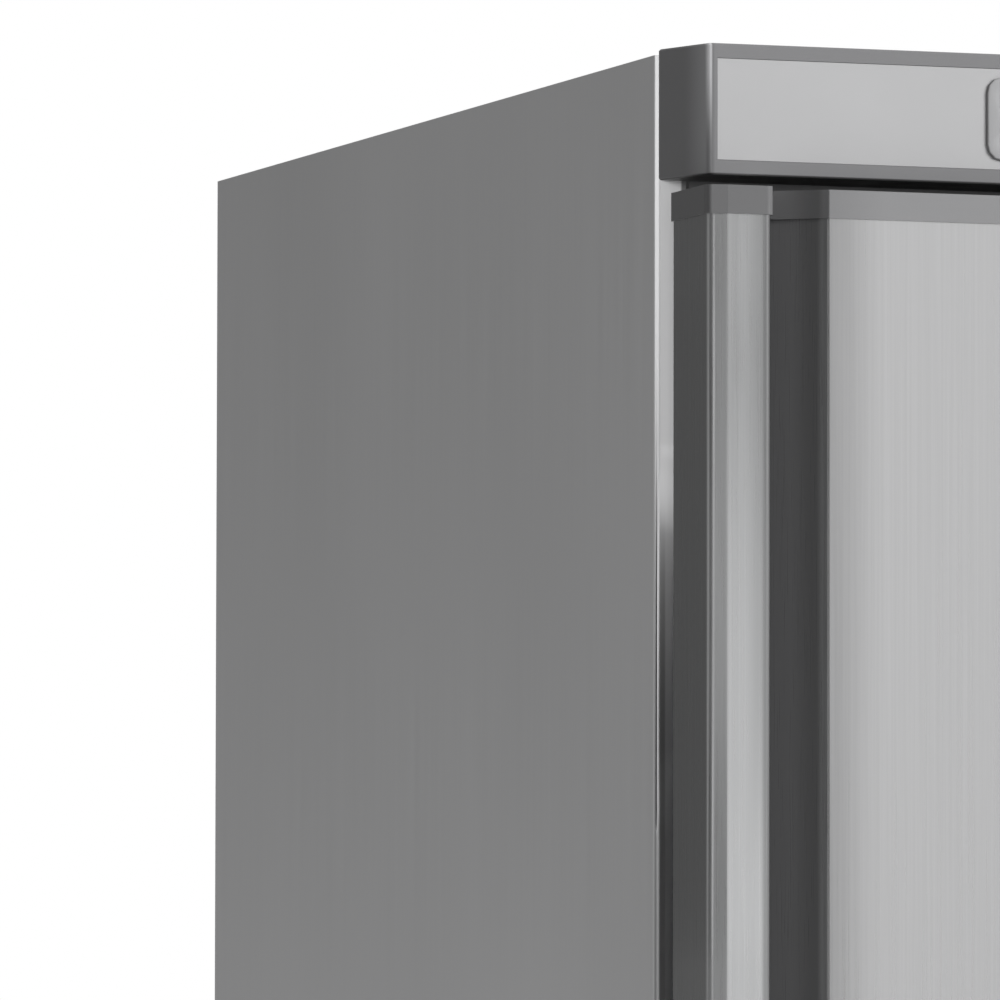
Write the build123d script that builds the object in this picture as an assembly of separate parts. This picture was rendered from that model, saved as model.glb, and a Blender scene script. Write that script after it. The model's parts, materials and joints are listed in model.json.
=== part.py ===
from build123d import *

import os
from math import atan2, cos, pi, radians, sin, tan

# An upright single-door storage refrigerator. Millimetres, +Z up, standing on z = 0, the door towards -Y,
# the finger pull at the left (-X) and the hinges at the right (+X).
# In plan, u runs from the left side panel to the right and f runs forward from the cabinet's front flange.

# Overall size
WIDTH = 600.0
DEPTH = 600.0
HEIGHT = 1850.0

# Cabinet sheet metal
SHEET = 1.0
FOLD_R = 2.0
REAR_RETURN = 14.0
BASE_CLEAR = 40.0
PAN_T = 2.0
PANEL_DROP = 2.2
REAR_SKIRT = 18.0

# Door and finger pull
DOOR_INSET = 3.0
DOOR_GAP = 6.0
GASKET_GAP = 12.0
DOOR_FACE = 45.0
LIP_FACE = 51.0
LIP_W = 25.0
LIP_T = 4.5
LIP_SHOULDER_W = 7.2
LIP_SHOULDER_DROP = 1.4
LIP_CORNER_R = 3.2
NOSE_R = 2.1
PULL_SIDE_T = 5.5
PULL_FLOOR = 28.0
PULL_MOUTH = 25.5
PULL_RAMP = 24.3
PULL_BLEND_R = 10.0
PROFILE_WALL = 2.2
SKIN_SEAT = 11.5
SKIN_T = 0.8
DOOR_EDGE_R = 5.0
DOOR_PANEL_T = 1.6
PLUG_REACH = 22.0
PLUG_CLEAR = 10.0
PLUG_R = 18.0
PLUG_EDGE = 4.0

# Moulded end caps of the door
CAP_H = 10.8
CAP_PROUD = 1.0
CAP_PLATE = 3.0
CAP_FIT = 0.05
BOSS_R = 9.5
BOSS_DEPTH = 18.0

# Door seal and the front opening
SEAL_INSET = 15.0
SEAL_W = 16.0
SEAL_CLEAR = 0.3
SEAL_SIDE_GAP = 0.3
SEAL_BASE = 3.0
SEAL_MAGNET = 4.0
SEAL_NECK_IN = 3.5
OPENING_MARGIN = 11.0
LINER_LIP = 7.0

# Inner liner and insulation
LINER_T = 1.5
LINER_REAR_R = 22.0
LINER_SIDE_EASE = 8.0
REAR_FOAM = 43.0
STEP_FOAM = 42.0
LEDGE_OUT = 9.0
LEDGE_H = 8.0
LEDGE_FRONT = 30.0
LEDGE_REAR = 20.0

# Machine bay at the bottom of the back
BAY_DEPTH = 216.0
BAY_H = 200.0
REAR_RECESS = 14.0

# Wire shelves
SHELF_FIRST = 420.0
SHELF_PITCH = 300.0
SHELF_COUNT = 4
LEDGES_PER_SHELF = 2
SHELF_SIDE_GAP = 4.0
SHELF_BAR = 6.0
SHELF_CORNER_R = 16.0
SHELF_FRONT = 34.0
SHELF_BACK_GAP = 26.0
WIRE_R = 1.6
WIRE_COUNT = 12

# Fascia above the door
FASCIA_H = 50.0
FASCIA_INSET = 1.4
FASCIA_REACH = 29.0
FASCIA_TAPER = 9.8
FASCIA_CORNER_R = 3.0
FASCIA_EDGE = 0.7
FASCIA_T = 2.5
FASCIA_FRONT_T = 4.0
INSERT_SIDE = 3.2
INSERT_MARGIN = 5.6
INSERT_T = 1.5
INSERT_SUNK = 0.3
FIT = 0.15

# Controller in the fascia
CONTROL_U = 124.0
CONTROL_W = 75.0
CONTROL_H = 32.0
CONTROL_PLATE = 1.3
CONTROL_RIM = 3.5
CONTROL_DEPTH = 22.0
CONTROL_R = 6.0
DISPLAY_W = 36.0
DISPLAY_H = 17.0
DISPLAY_T = 1.0
BUTTON_W = 9.0
BUTTON_H = 7.5
BUTTON_T = 3.0
BUTTON_PROUD = 0.9
BUTTON_TRAVEL = 0.8
BUTTON_CLEAR = 0.3
BUTTON_R = 1.5

# Reed switch in the fascia and its magnet in the door
SWITCH_U = 90.0
SWITCH_F = 20.0
SWITCH_L = 26.0
SWITCH_W = 10.0
SWITCH_H = 8.0
MAGNET_R = 5.0
MAGNET_H = 6.0

# Base grille
GRILLE_LIFT = 4.0
GRILLE_H = 38.0
GRILLE_REACH = 28.0
GRILLE_T = 2.5
SLOT_ROWS = 3
SLOT_COLUMNS = 8
SLOT_H = 4.5
SLOT_PITCH = 9.0
SLOT_W = 52.0
SLOT_STEP = 58.0
GRILLE_SCREW_IN = 50.0
GRILLE_BOSS_WALL = 2.0

# Hinges
HINGE_IN = 14.0
HINGE_F = 30.0
HINGE_PLATE = 3.0
HINGE_W = 28.0
HINGE_OFFSET = 6.0
HINGE_LEG = 36.0
HINGE_NOSE_R = 12.0
THRUST_T = 1.3
THRUST_R = 8.5
THRUST_GAP = 0.3
PIN_R = 4.0
PIN_FIT = 0.05
SPIGOT_R = 3.0
PIN_DEPTH = 14.0
BUSH_R = 6.0
BUSH_L = 16.0
SCREW_R = 2.2
SCREW_HEAD_R = 4.5
SCREW_HEAD_H = 2.5
SCREW_REACH = 10.0
SCREW_FIT = 0.1
HEAD_GAP = 0.3
HINGE_SCREW_PITCH = 18.0
NOTCH_GAP = 0.5

# Feet at the front and rollers at the back
FOOT_IN = 45.0
FOOT_BACK = 38.0
FOOT_R = 19.0
FOOT_H = 12.0
FOOT_SLOPE = 0.61
STEM_R = 5.0
STEM_L = 50.0
STEM_FIT = 0.05
NUT_R = 10.0
NUT_H = 12.0
FOOT_TRAVEL = 12.0
ROLLER_R = 17.5
ROLLER_W = 18.0
ROLLER_EDGE = 2.0
ROLLER_IN = 50.0
ROLLER_FRONT_OF_REAR = 34.0
AXLE_R = 3.0
CHEEK_T = 2.0
CHEEK_GAP = 0.5
CHEEK_HALF = 9.0
FORK_HALF = 16.0
AXLE_END = 1.5

# Refrigeration circuit
COMPRESSOR_L = 196.0
COMPRESSOR_W = 146.0
COMPRESSOR_H = 146.0
COMPRESSOR_R = 62.0
DOME_R = 30.0
DOME_STEPS = 3
SEAM_PROUD = 3.0
SEAM_H = 4.0
RELAY_W = 56.0
RELAY_D = 38.0
RELAY_H = 78.0
RELAY_LIFT = 25.0
RELAY_EDGE = 8.0
GROMMET_R = 12.0
GROMMET_H = 14.0
MOUNT_X = 105.0
MOUNT_Y = 52.0
FOOT_BAR_W = 30.0
FOOT_BAR_T = 3.0
TUBE_R = 2.6
SUCTION_R = 4.0
CAPILLARY_R = 1.2
CONDENSER_PASSES = 10
CONDENSER_PITCH = 132.0
CONDENSER_HALF_W = 200.0
CONDENSER_BOTTOM = 320.0
CONDENSER_STAND = 8.0
CONDENSER_WIRE = 1.6
CONDENSER_WIRES = 27
DRIER_R = 10.0
DRIER_L = 100.0
DRIER_IN = 34.0
EVAPORATOR_W = 420.0
EVAPORATOR_H = 440.0
EVAPORATOR_BOTTOM = 960.0
EVAPORATOR_T = 1.5
CHANNEL_W = 9.0
CHANNEL_T = 2.0
CHANNEL_PASSES = 7
STANDOFF = 6.0
PILLAR_IN = 14.0
PILLAR_R = 6.0
GUTTER_DEPTH = 20.0
GUTTER_H = 14.0
GUTTER_T = 1.5
DRAIN_R = 7.0
DRAIN_BORE = 5.5
TRAY_L = 180.0
TRAY_W = 150.0
TRAY_H = 20.0
TRAY_T = 1.5
TRAY_R = 20.0
TRAY_BACK = 25.0

# Air fan inside the compartment
FAN_BOX = 180.0
FAN_DEPTH = 56.0
FAN_TOP_GAP = 24.0
FAN_BOX_T = 2.0
FAN_BOX_R = 14.0
FAN_VENTS = 4
FAN_VENT_PITCH = 30.0
FAN_VENT_H = 12.0
FAN_VENT_IN = 13.0
FAN_MOUTH_R = 64.0
FAN_TIP_R = 60.0
HUB_R = 21.0
HUB_L = 18.0
BLADES = 5
BLADE_T = 1.6
BLADE_ROOT = 20.0
BLADE_TIP = 34.0
BLADE_PITCH = 36.0
MOTOR_R = 19.0
MOTOR_L = 24.0
STRAP_T = 4.0
STRAP_W = 18.0
SHAFT_R = 2.5
GUARD_T = 2.0
GUARD_RINGS = 2

# Lamp
LAMP_W = 200.0
LAMP_D = 32.0
LAMP_H = 12.0
LAMP_BASE = 4.0
LAMP_BACK = 60.0
LAMP_LAND = 2.0
LAMP_WALL = 2.0
LAMP_EDGE = 3.0

# Power inlet in the machine bay
INLET_IN = 70.0
INLET_BACK = 8.0
INLET_W = 50.0
INLET_D = 42.0
INLET_H = 46.0

# Rear bumpers
BUMPER_REACH = 8.0
BUMPER_W = 24.0
BUMPER_H = 60.0
BUMPER_IN = 2.0
BUMPER_TOP = 60.0

# Planes and lines worked out from the sizes above
LEFT = -WIDTH / 2
FLANGE_Y = -DEPTH / 2 + LIP_FACE + CAP_PROUD
REAR_Y = DEPTH / 2 - BUMPER_REACH
PANEL_TOP = HEIGHT - PANEL_DROP
FASCIA_Z = HEIGHT - FASCIA_H
DOOR_TOP = FASCIA_Z - DOOR_GAP
GRILLE_Z = BASE_CLEAR + GRILLE_LIFT
DOOR_BOTTOM = GRILLE_Z + GRILLE_H + DOOR_GAP
SEAL_IN = SEAL_INSET + SEAL_W
OPEN_HALF = WIDTH / 2 - DOOR_INSET - SEAL_IN - OPENING_MARGIN
OPEN_TOP = DOOR_TOP - SEAL_IN - OPENING_MARGIN
OPEN_BOTTOM = DOOR_BOTTOM + SEAL_IN + OPENING_MARGIN
RETURN_W = WIDTH / 2 - OPEN_HALF - LINER_LIP
REAR_INNER = REAR_Y - REAR_RECESS - SHEET
LINER_BACK = REAR_INNER - REAR_FOAM - LINER_T
PAN_TOP = BASE_CLEAR + PAN_T
BAY_CEILING = PAN_TOP + BAY_H
BAY_FRONT = REAR_INNER - BAY_DEPTH
STEP_Y = BAY_FRONT - STEP_FOAM - LINER_T
STEP_Z = BAY_CEILING + SHEET + STEP_FOAM + LINER_T
HINGE_X = WIDTH / 2 - HINGE_IN
PANEL_F = GASKET_GAP + SKIN_T
MID_HALF = WIDTH / 2 - SHEET


def across(u):
    """X of a plane that far from the left side panel."""
    return LEFT + u


def ahead(f):
    """Y of a plane that far in front of the cabinet's front flange."""
    return FLANGE_Y - f


HINGE_Y = ahead(HINGE_F)


def block(x0, x1, y0, y1, z0, z1):
    centre = Pos((x0 + x1) / 2, (y0 + y1) / 2, (z0 + z1) / 2)
    return centre * Box(abs(x1 - x0), abs(y1 - y0), abs(z1 - z0))


def chords(before, corner, after, radius, steps):
    """Points along the arc that rounds a corner between its neighbours, in a plane or in space."""
    if not radius:
        return [corner]
    tip = Vector(*corner)
    back = (Vector(*before) - tip).normalized()
    on = (Vector(*after) - tip).normalized()
    half = radians(back.get_angle(on)) / 2
    turn = pi - 2 * half
    centre = tip + (back + on).normalized() * (radius / sin(half))
    start = tip + back * (radius / tan(half)) - centre
    end = tip + on * (radius / tan(half)) - centre
    points = []
    for i in range(steps + 1):
        swung = turn * i / steps
        point = centre + (start * sin(turn - swung) + end * sin(swung)) * (1 / sin(turn))
        points.append((point.X, point.Y, point.Z)[:len(corner)])
    return points


def outline(corners, steps=0):
    """A face from (x, y, corner radius) triples. Its corners are arcs, or that many chords of them."""
    points = [(x, y) for x, y, _ in corners]
    radii = [r for _, _, r in corners]
    if not steps:
        return make_face(FilletPolyline(*points, radius=radii, close=True))
    line = []
    for i, point in enumerate(points):
        line += chords(points[i - 1], point, points[(i + 1) % len(points)], radii[i], steps)
    return make_face(Polyline(*line, close=True))


def plan(corners, steps=0):
    """The same, from (u, f, corner radius) triples in the plan of the cabinet's front."""
    return outline([(across(u), ahead(f), r) for u, f, r in corners], steps)


def eased(width, height, radius, steps=2):
    """A rectangle with its corners rounded by a few chords."""
    x, y = width / 2, height / 2
    return outline([(x, y, radius), (-x, y, radius), (-x, -y, radius), (x, -y, radius)], steps)


def disc(radius, sides, hole):
    """A round face with flat sides, inside its circle, or outside it where it cuts a hole.

    A shaft's corners point at the middles of its hole's flats, so their gap is the fit.
    """
    if hole:
        return RegularPolygon(radius, sides, major_radius=False)
    return RegularPolygon(radius, sides, rotation=180 / sides)


def upright(face, z0, z1):
    return extrude(Pos(0, 0, z0) * face, amount=z1 - z0, dir=(0, 0, 1))


def sideways(face_yz, x0, x1):
    """Extrudes a face drawn in (y, z) along X."""
    plane = Plane(origin=(x0, 0, 0), x_dir=(0, 1, 0), z_dir=(1, 0, 0))
    return extrude(plane * face_yz, amount=x1 - x0, dir=(1, 0, 0))


def facing(face_xz, y0, y1):
    """Extrudes a face drawn in (x, z) along Y."""
    plane = Plane(origin=(0, y0, 0), x_dir=(1, 0, 0), z_dir=(0, -1, 0))
    return extrude(plane * face_xz, amount=y1 - y0, dir=(0, 1, 0))


def stack(sections):
    """A solid with flat sides through level faces that have the same number of corners."""
    levels = [section.face() for section in sections]
    rings = [[edge.position_at(0) for edge in face.outer_wire().order_edges()] for face in levels]
    faces = [levels[0], levels[-1]]
    for low, high in zip(rings, rings[1:]):
        for i in range(len(low)):
            faces.append(make_face(Polyline(low[i - 1], low[i], high[i], high[i - 1], close=True)).face())
    return Solid(Shell(faces))


def pole(x, y, z0, z1, radius, sides=12, hole=False):
    low, high = sorted((z0, z1))
    return upright(Pos(x, y) * disc(radius, sides, hole), low, high)


def bar_y(x, z, y0, y1, radius, sides=12, hole=False):
    low, high = sorted((y0, y1))
    return facing(Pos(x, z) * disc(radius, sides, hole), low, high)


def bar_x(y, z, x0, x1, radius, sides=12, hole=False):
    return sideways(Pos(y, z) * disc(radius, sides, hole), x0, x1)


def pipe(points, radius, bends, sides=6):
    """A tube of a few flat sides. Its bends are two chords each."""
    if not isinstance(bends, list):
        bends = [bends] * (len(points) - 2)
    line = [points[0]]
    for i, bend in enumerate(bends):
        line += chords(points[i], points[i + 1], points[i + 2], bend, 2)
    line.append(points[-1])
    path = Polyline(*line)
    start = Plane(origin=line[0], z_dir=Vector(*line[1]) - Vector(*line[0]))
    return sweep(start * RegularPolygon(radius, sides), path=path, transition=Transition.RIGHT)


def mirrored(part):
    return mirror(part, about=Plane.YZ)


# Cabinet

def side_panel():
    """Left side sheet: one folded piece with a front return round the opening and a rear return."""
    face = plan([
        (0, 0, FOLD_R),
        (RETURN_W, 0, 0),
        (RETURN_W, -SHEET, 0),
        (SHEET, -SHEET, 0),
        (SHEET, ahead(0) - REAR_Y + SHEET, 0),
        (REAR_RETURN, ahead(0) - REAR_Y + SHEET, 0),
        (REAR_RETURN, ahead(0) - REAR_Y, 0),
        (0, ahead(0) - REAR_Y, FOLD_R),
    ])
    return upright(face, BASE_CLEAR, PANEL_TOP)


def side_panel_right():
    """The mirrored sheet, drilled for the hinge screws."""
    panel = mirrored(side_panel())
    for x, z in hinge_screw_places():
        panel -= bar_y(x, z, ahead(1), ahead(-SHEET - 1), SCREW_R + SCREW_FIT, 8, True)
    return panel


def top_panel():
    lid = block(-MID_HALF, MID_HALF, ahead(-SHEET), REAR_Y - SHEET, PANEL_TOP - SHEET, PANEL_TOP)
    skirt = block(
        -WIDTH / 2 + REAR_RETURN, WIDTH / 2 - REAR_RETURN,
        REAR_Y - SHEET, REAR_Y, PANEL_TOP - REAR_SKIRT, PANEL_TOP,
    )
    return lid + skirt


def front_rails():
    """The two cross pieces that close the front flange above and below the opening."""
    half = WIDTH / 2 - RETURN_W
    top = block(-half, half, ahead(-SHEET), ahead(0), OPEN_TOP + LINER_LIP, PANEL_TOP)
    bottom = block(-half, half, ahead(-SHEET), ahead(0), BASE_CLEAR, OPEN_BOTTOM - LINER_LIP)
    for x, z in grille_screw_places():
        bottom -= bar_y(x, z, ahead(1), ahead(-SHEET - 1), SCREW_R + SCREW_FIT, 8, True)
    return [top, bottom]


def rear_panel():
    return block(
        -MID_HALF, MID_HALF, REAR_INNER, REAR_INNER + SHEET, BAY_CEILING, PANEL_TOP - SHEET
    )


def bay_panel():
    """Sheet over and in front of the machine bay, folded from one piece."""
    face = outline([
        (BAY_FRONT - SHEET, PAN_TOP, 0),
        (BAY_FRONT, PAN_TOP, 0),
        (BAY_FRONT, BAY_CEILING, 0),
        (REAR_INNER, BAY_CEILING, 0),
        (REAR_INNER, BAY_CEILING + SHEET, 0),
        (BAY_FRONT - SHEET, BAY_CEILING + SHEET, 0),
    ])
    return sideways(face, -MID_HALF, MID_HALF) - drain_hole()


def foot_places():
    return [(side * (WIDTH / 2 - FOOT_IN), ahead(-FOOT_BACK)) for side in (-1, 1)]


def compressor_centre():
    return (0, (BAY_FRONT + REAR_INNER) / 2)


def mount_places():
    cx, cy = compressor_centre()
    return [(cx + i * MOUNT_X, cy + j * MOUNT_Y) for i in (-1, 1) for j in (-1, 1)]


def base_pan():
    """Pressed steel base with a weld nut over each foot and a hole at each compressor mount."""
    pan = block(-MID_HALF, MID_HALF, ahead(-SHEET), REAR_Y - SHEET, BASE_CLEAR, PAN_TOP)
    for x, y in foot_places():
        pan += upright(Pos(x, y) * RegularPolygon(NUT_R, 6), PAN_TOP, PAN_TOP + NUT_H)
        pan -= pole(x, y, BASE_CLEAR - 1, PAN_TOP + NUT_H + 1, STEM_R + STEM_FIT, hole=True)
    for x, y in mount_places():
        pan -= pole(x, y, BASE_CLEAR - 1, PAN_TOP + 1, SCREW_R + SCREW_FIT, 8, True)
    return pan


def foot(x, y):
    """Levelling foot: a tapered pad moulded on a threaded stem."""
    pad = pole(x, y, 0, FOOT_H / 2, FOOT_R, 24)
    rings = [(FOOT_H / 2, FOOT_R), (FOOT_H, FOOT_R - FOOT_H / 2 * tan(FOOT_SLOPE))]
    neck = stack([Pos(x, y, z) * disc(r, 24, False) for z, r in rings])
    return pad + neck + pole(x, y, FOOT_H - 1, FOOT_H + STEM_L, STEM_R)


def roller_places():
    return [(side * (WIDTH / 2 - ROLLER_IN), REAR_Y - ROLLER_FRONT_OF_REAR) for side in (-1, 1)]


def roller(x, y):
    rim = Pos(y, ROLLER_R) * RegularPolygon(ROLLER_R, 24)
    wheel = sideways(rim, x - ROLLER_W / 2, x + ROLLER_W / 2)
    ends = wheel.faces().sort_by(Axis.X)
    tread = chamfer(ends[0].edges() + ends[-1].edges(), ROLLER_EDGE)
    return tread - bar_x(y, ROLLER_R, x - ROLLER_W, x + ROLLER_W, AXLE_R + PIN_FIT, hole=True)


def roller_brackets():
    """Two steel forks under the base pan, each with its axle."""
    forks = []
    for x, y in roller_places():
        inner = ROLLER_W / 2 + CHEEK_GAP
        outer = inner + CHEEK_T
        top = block(x - outer, x + outer, y - FORK_HALF, y + FORK_HALF, BASE_CLEAR - CHEEK_T, BASE_CLEAR)
        fork = top + bar_x(y, ROLLER_R, x - outer - AXLE_END, x + outer + AXLE_END, AXLE_R)
        for side in (-1, 1):
            cheek = outline([
                (y - FORK_HALF, BASE_CLEAR - CHEEK_T, 0),
                (y - CHEEK_HALF, ROLLER_R - CHEEK_HALF, 6),
                (y + CHEEK_HALF, ROLLER_R - CHEEK_HALF, 6),
                (y + FORK_HALF, BASE_CLEAR - CHEEK_T, 0),
            ], 2)
            near, far = sorted((x + side * inner, x + side * outer))
            fork += sideways(cheek, near, far)
        forks.append(fork)
    return forks


def liner_profile(grow):
    """Side view of the compartment, with the step over the machine bay, in (y, z)."""
    front = ahead(0)
    return outline([
        (front, OPEN_BOTTOM - grow, 0),
        (STEP_Y + grow, OPEN_BOTTOM - grow, LINER_REAR_R + grow),
        (STEP_Y + grow, STEP_Z - grow, LINER_REAR_R - grow),
        (LINER_BACK + grow, STEP_Z - grow, LINER_REAR_R + grow),
        (LINER_BACK + grow, OPEN_TOP + grow, LINER_REAR_R + grow),
        (front, OPEN_TOP + grow, 0),
    ], 3)


def compartment(grow):
    """The compartment's space, grown by a wall, with its long side edges eased."""
    half = OPEN_HALF + grow
    space = sideways(liner_profile(grow), -half, half)
    edges = []
    for face in (space.faces().sort_by(Axis.X)[0], space.faces().sort_by(Axis.X)[-1]):
        for edge in face.edges():
            if edge.center().Y > ahead(0) + 0.5:
                edges.append(edge)
    return chamfer(edges, LINER_SIDE_EASE + grow * tan(pi / 8))


def ledge_levels():
    count = (SHELF_COUNT - 1) * LEDGES_PER_SHELF + 1
    return [SHELF_FIRST + i * SHELF_PITCH / LEDGES_PER_SHELF for i in range(count)]


def inner_liner():
    """Vacuum-formed liner with shelf ledges on both sides and a lip round its mouth."""
    shell = compartment(LINER_T) - compartment(0)
    lip = block(
        -OPEN_HALF - LINER_LIP, OPEN_HALF + LINER_LIP, ahead(-SHEET), ahead(0),
        OPEN_BOTTOM - LINER_LIP, OPEN_TOP + LINER_LIP,
    )
    shell += lip - compartment(0)
    y0 = ahead(-LEDGE_FRONT)
    y1 = LINER_BACK - LEDGE_REAR
    rail = Pos((y0 + y1) / 2, -LEDGE_H / 2) * eased(y1 - y0, LEDGE_H, LEDGE_H * 0.4, 1)
    for level in ledge_levels():
        bead = sideways(Pos(0, level) * rail, OPEN_HALF - LEDGE_OUT, OPEN_HALF + LINER_T / 2)
        shell += bead
        shell += mirrored(bead)
    return shell - drain_hole()


def foam():
    """Insulation between the sheets and the liner."""
    profile = outline([
        (ahead(-SHEET), PAN_TOP, 0),
        (BAY_FRONT - SHEET, PAN_TOP, 0),
        (BAY_FRONT - SHEET, BAY_CEILING + SHEET, 0),
        (REAR_INNER, BAY_CEILING + SHEET, 0),
        (REAR_INNER, PANEL_TOP - SHEET, 0),
        (ahead(-SHEET), PANEL_TOP - SHEET, 0),
    ])
    body = sideways(profile, -MID_HALF, MID_HALF) - compartment(LINER_T)
    for x, y in foot_places():
        body -= pole(x, y, PAN_TOP - 1, FOOT_H + STEM_L + FOOT_TRAVEL + 6, NUT_R + 1, 8, True)
    for x, z in hinge_screw_places() + grille_screw_places():
        body -= bar_y(x, z, ahead(0), ahead(-SCREW_REACH - 2), SCREW_R + SCREW_FIT, 8, True)
    body -= drain_hole()
    return body


def rear_bumpers():
    """Two plastic spacers that keep the back clear of a wall."""
    pieces = []
    for side in (-1, 1):
        x = side * (WIDTH / 2 - REAR_RETURN - BUMPER_IN - BUMPER_W / 2)
        z = PANEL_TOP - REAR_SKIRT - BUMPER_TOP
        face = Pos(x, z) * eased(BUMPER_W, BUMPER_H, 4)
        pad = facing(face, REAR_INNER + SHEET, REAR_Y + BUMPER_REACH)
        pieces.append(chamfer(pad.faces().sort_by(Axis.Y)[-1].edges(), 2))
    return pieces


# Fascia and controller

def tapered(reach, wall, inset):
    """Plan of a moulding that spans the cabinet's front with tapered ends. inset and wall draw its hollow."""
    side = atan2(FASCIA_TAPER, FASCIA_REACH)
    start = FASCIA_INSET + inset / cos(side)
    front = reach - (wall if inset else 0)
    end = start + front * tan(side)
    corner = max(FASCIA_CORNER_R - inset, 0.5)
    corners = [(start, 0, 0), (end, front, corner), (WIDTH - end, front, corner), (WIDTH - start, 0, 0)]
    return plan(corners, 1 if inset else 0)


def insert_block(gap, f0, f1):
    u = FASCIA_INSET + FASCIA_TAPER + INSERT_SIDE + gap
    return block(
        across(u), -across(u), ahead(f0), ahead(f1),
        FASCIA_Z + INSERT_MARGIN + gap, HEIGHT - INSERT_MARGIN - gap,
    )


def control_centre():
    return (across(CONTROL_U + CONTROL_W / 2), (FASCIA_Z + HEIGHT) / 2)


def control_neck(gap):
    x, z = control_centre()
    face = Pos(x, z) * Rectangle(CONTROL_W - 2 * CONTROL_RIM + 2 * gap, CONTROL_H - 2 * CONTROL_RIM + 2 * gap)
    return face


def bracket_notch(z0, z1):
    """Room for a hinge bracket's leg where it passes a wall of the fascia or the grille."""
    x0, x1 = bracket_sides()
    return block(x0 - NOTCH_GAP, x1 + NOTCH_GAP, ahead(-1), ahead(HINGE_PLATE + NOTCH_GAP), z0, z1)


def fascia_frame():
    """Hollow moulding with tapered ends, open at the back, with a seat for the insert."""
    shell = upright(tapered(FASCIA_REACH, FASCIA_FRONT_T, 0), FASCIA_Z, HEIGHT)
    long_edges = shell.edges().filter_by(Axis.X).filter_by(lambda e: e.center().Y < ahead(1))
    shell = chamfer(long_edges, FASCIA_EDGE)
    shell -= upright(tapered(FASCIA_REACH, FASCIA_FRONT_T, FASCIA_T), FASCIA_Z + FASCIA_T, HEIGHT - FASCIA_T)
    shell -= insert_block(0, FASCIA_REACH - INSERT_T - INSERT_SUNK, FASCIA_REACH + 1)
    shell -= facing(control_neck(FIT), ahead(FASCIA_REACH + 1), ahead(FASCIA_REACH - FASCIA_FRONT_T - 1))
    return shell - bracket_notch(FASCIA_Z - 1, FASCIA_Z + FASCIA_T + 1)


def fascia_insert():
    strip = insert_block(FIT, FASCIA_REACH - INSERT_T - INSERT_SUNK, FASCIA_REACH - INSERT_SUNK)
    return strip - facing(control_neck(FIT), ahead(FASCIA_REACH + 1), ahead(0))


def button_places():
    x, z = control_centre()
    dx = DISPLAY_W / 2 + (CONTROL_W - DISPLAY_W) / 4 - 0.5
    dz = CONTROL_H / 2 - CONTROL_RIM - BUTTON_H / 2 - 1.5
    names = ["button_set", "button_up", "button_standby", "button_down"]
    spots = [(x - dx, z + dz), (x + dx, z + dz), (x - dx, z - dz), (x + dx, z - dz)]
    return dict(zip(names, spots))


CONTROL_FACE_F = FASCIA_REACH - INSERT_SUNK + CONTROL_PLATE


def controller_housing():
    """Bezel plate in front of the insert and a box behind it, with wells for display and keys."""
    x, z = control_centre()
    bezel = facing(
        Pos(x, z) * eased(CONTROL_W, CONTROL_H, CONTROL_R, 3),
        ahead(CONTROL_FACE_F), ahead(CONTROL_FACE_F - CONTROL_PLATE),
    )
    bezel = chamfer(bezel.faces().sort_by(Axis.Y)[0].edges(), 0.4)
    box = facing(
        control_neck(0), ahead(FASCIA_REACH - INSERT_SUNK), ahead(FASCIA_REACH - CONTROL_DEPTH)
    )
    body = bezel + box
    body -= facing(
        Pos(x, z) * Rectangle(DISPLAY_W, DISPLAY_H),
        ahead(CONTROL_FACE_F), ahead(CONTROL_FACE_F - DISPLAY_T),
    )
    well = BUTTON_T - BUTTON_PROUD + BUTTON_TRAVEL + BUTTON_CLEAR
    for bx, bz in button_places().values():
        hole = eased(
            BUTTON_W + 2 * BUTTON_CLEAR, BUTTON_H + 2 * BUTTON_CLEAR, BUTTON_R + BUTTON_CLEAR
        )
        body -= facing(Pos(bx, bz) * hole, ahead(CONTROL_FACE_F), ahead(CONTROL_FACE_F - well))
    return body


def controller_display():
    x, z = control_centre()
    return facing(
        Pos(x, z) * Rectangle(DISPLAY_W - 0.1, DISPLAY_H - 0.1),
        ahead(CONTROL_FACE_F + 0.2), ahead(CONTROL_FACE_F - DISPLAY_T),
    )


def control_button(x, z):
    key = facing(
        Pos(x, z) * eased(BUTTON_W, BUTTON_H, BUTTON_R),
        ahead(CONTROL_FACE_F + BUTTON_PROUD), ahead(CONTROL_FACE_F + BUTTON_PROUD - BUTTON_T),
    )
    return chamfer(key.faces().sort_by(Axis.Y)[0].edges(), 0.5)


def door_switch():
    """Reed switch on the floor of the fascia, over the door's magnet."""
    x = across(SWITCH_U)
    z = FASCIA_Z + FASCIA_T
    half = SWITCH_L / 2
    front, rear = ahead(SWITCH_F + SWITCH_W / 2), ahead(SWITCH_F - SWITCH_W / 2)
    return block(x - half, x + half, front, rear, z, z + SWITCH_H)


# Base grille

def grille_screw_places():
    z = GRILLE_Z + GRILLE_H / 2
    return [(across(GRILLE_SCREW_IN), z), (-across(GRILLE_SCREW_IN), z)]


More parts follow.
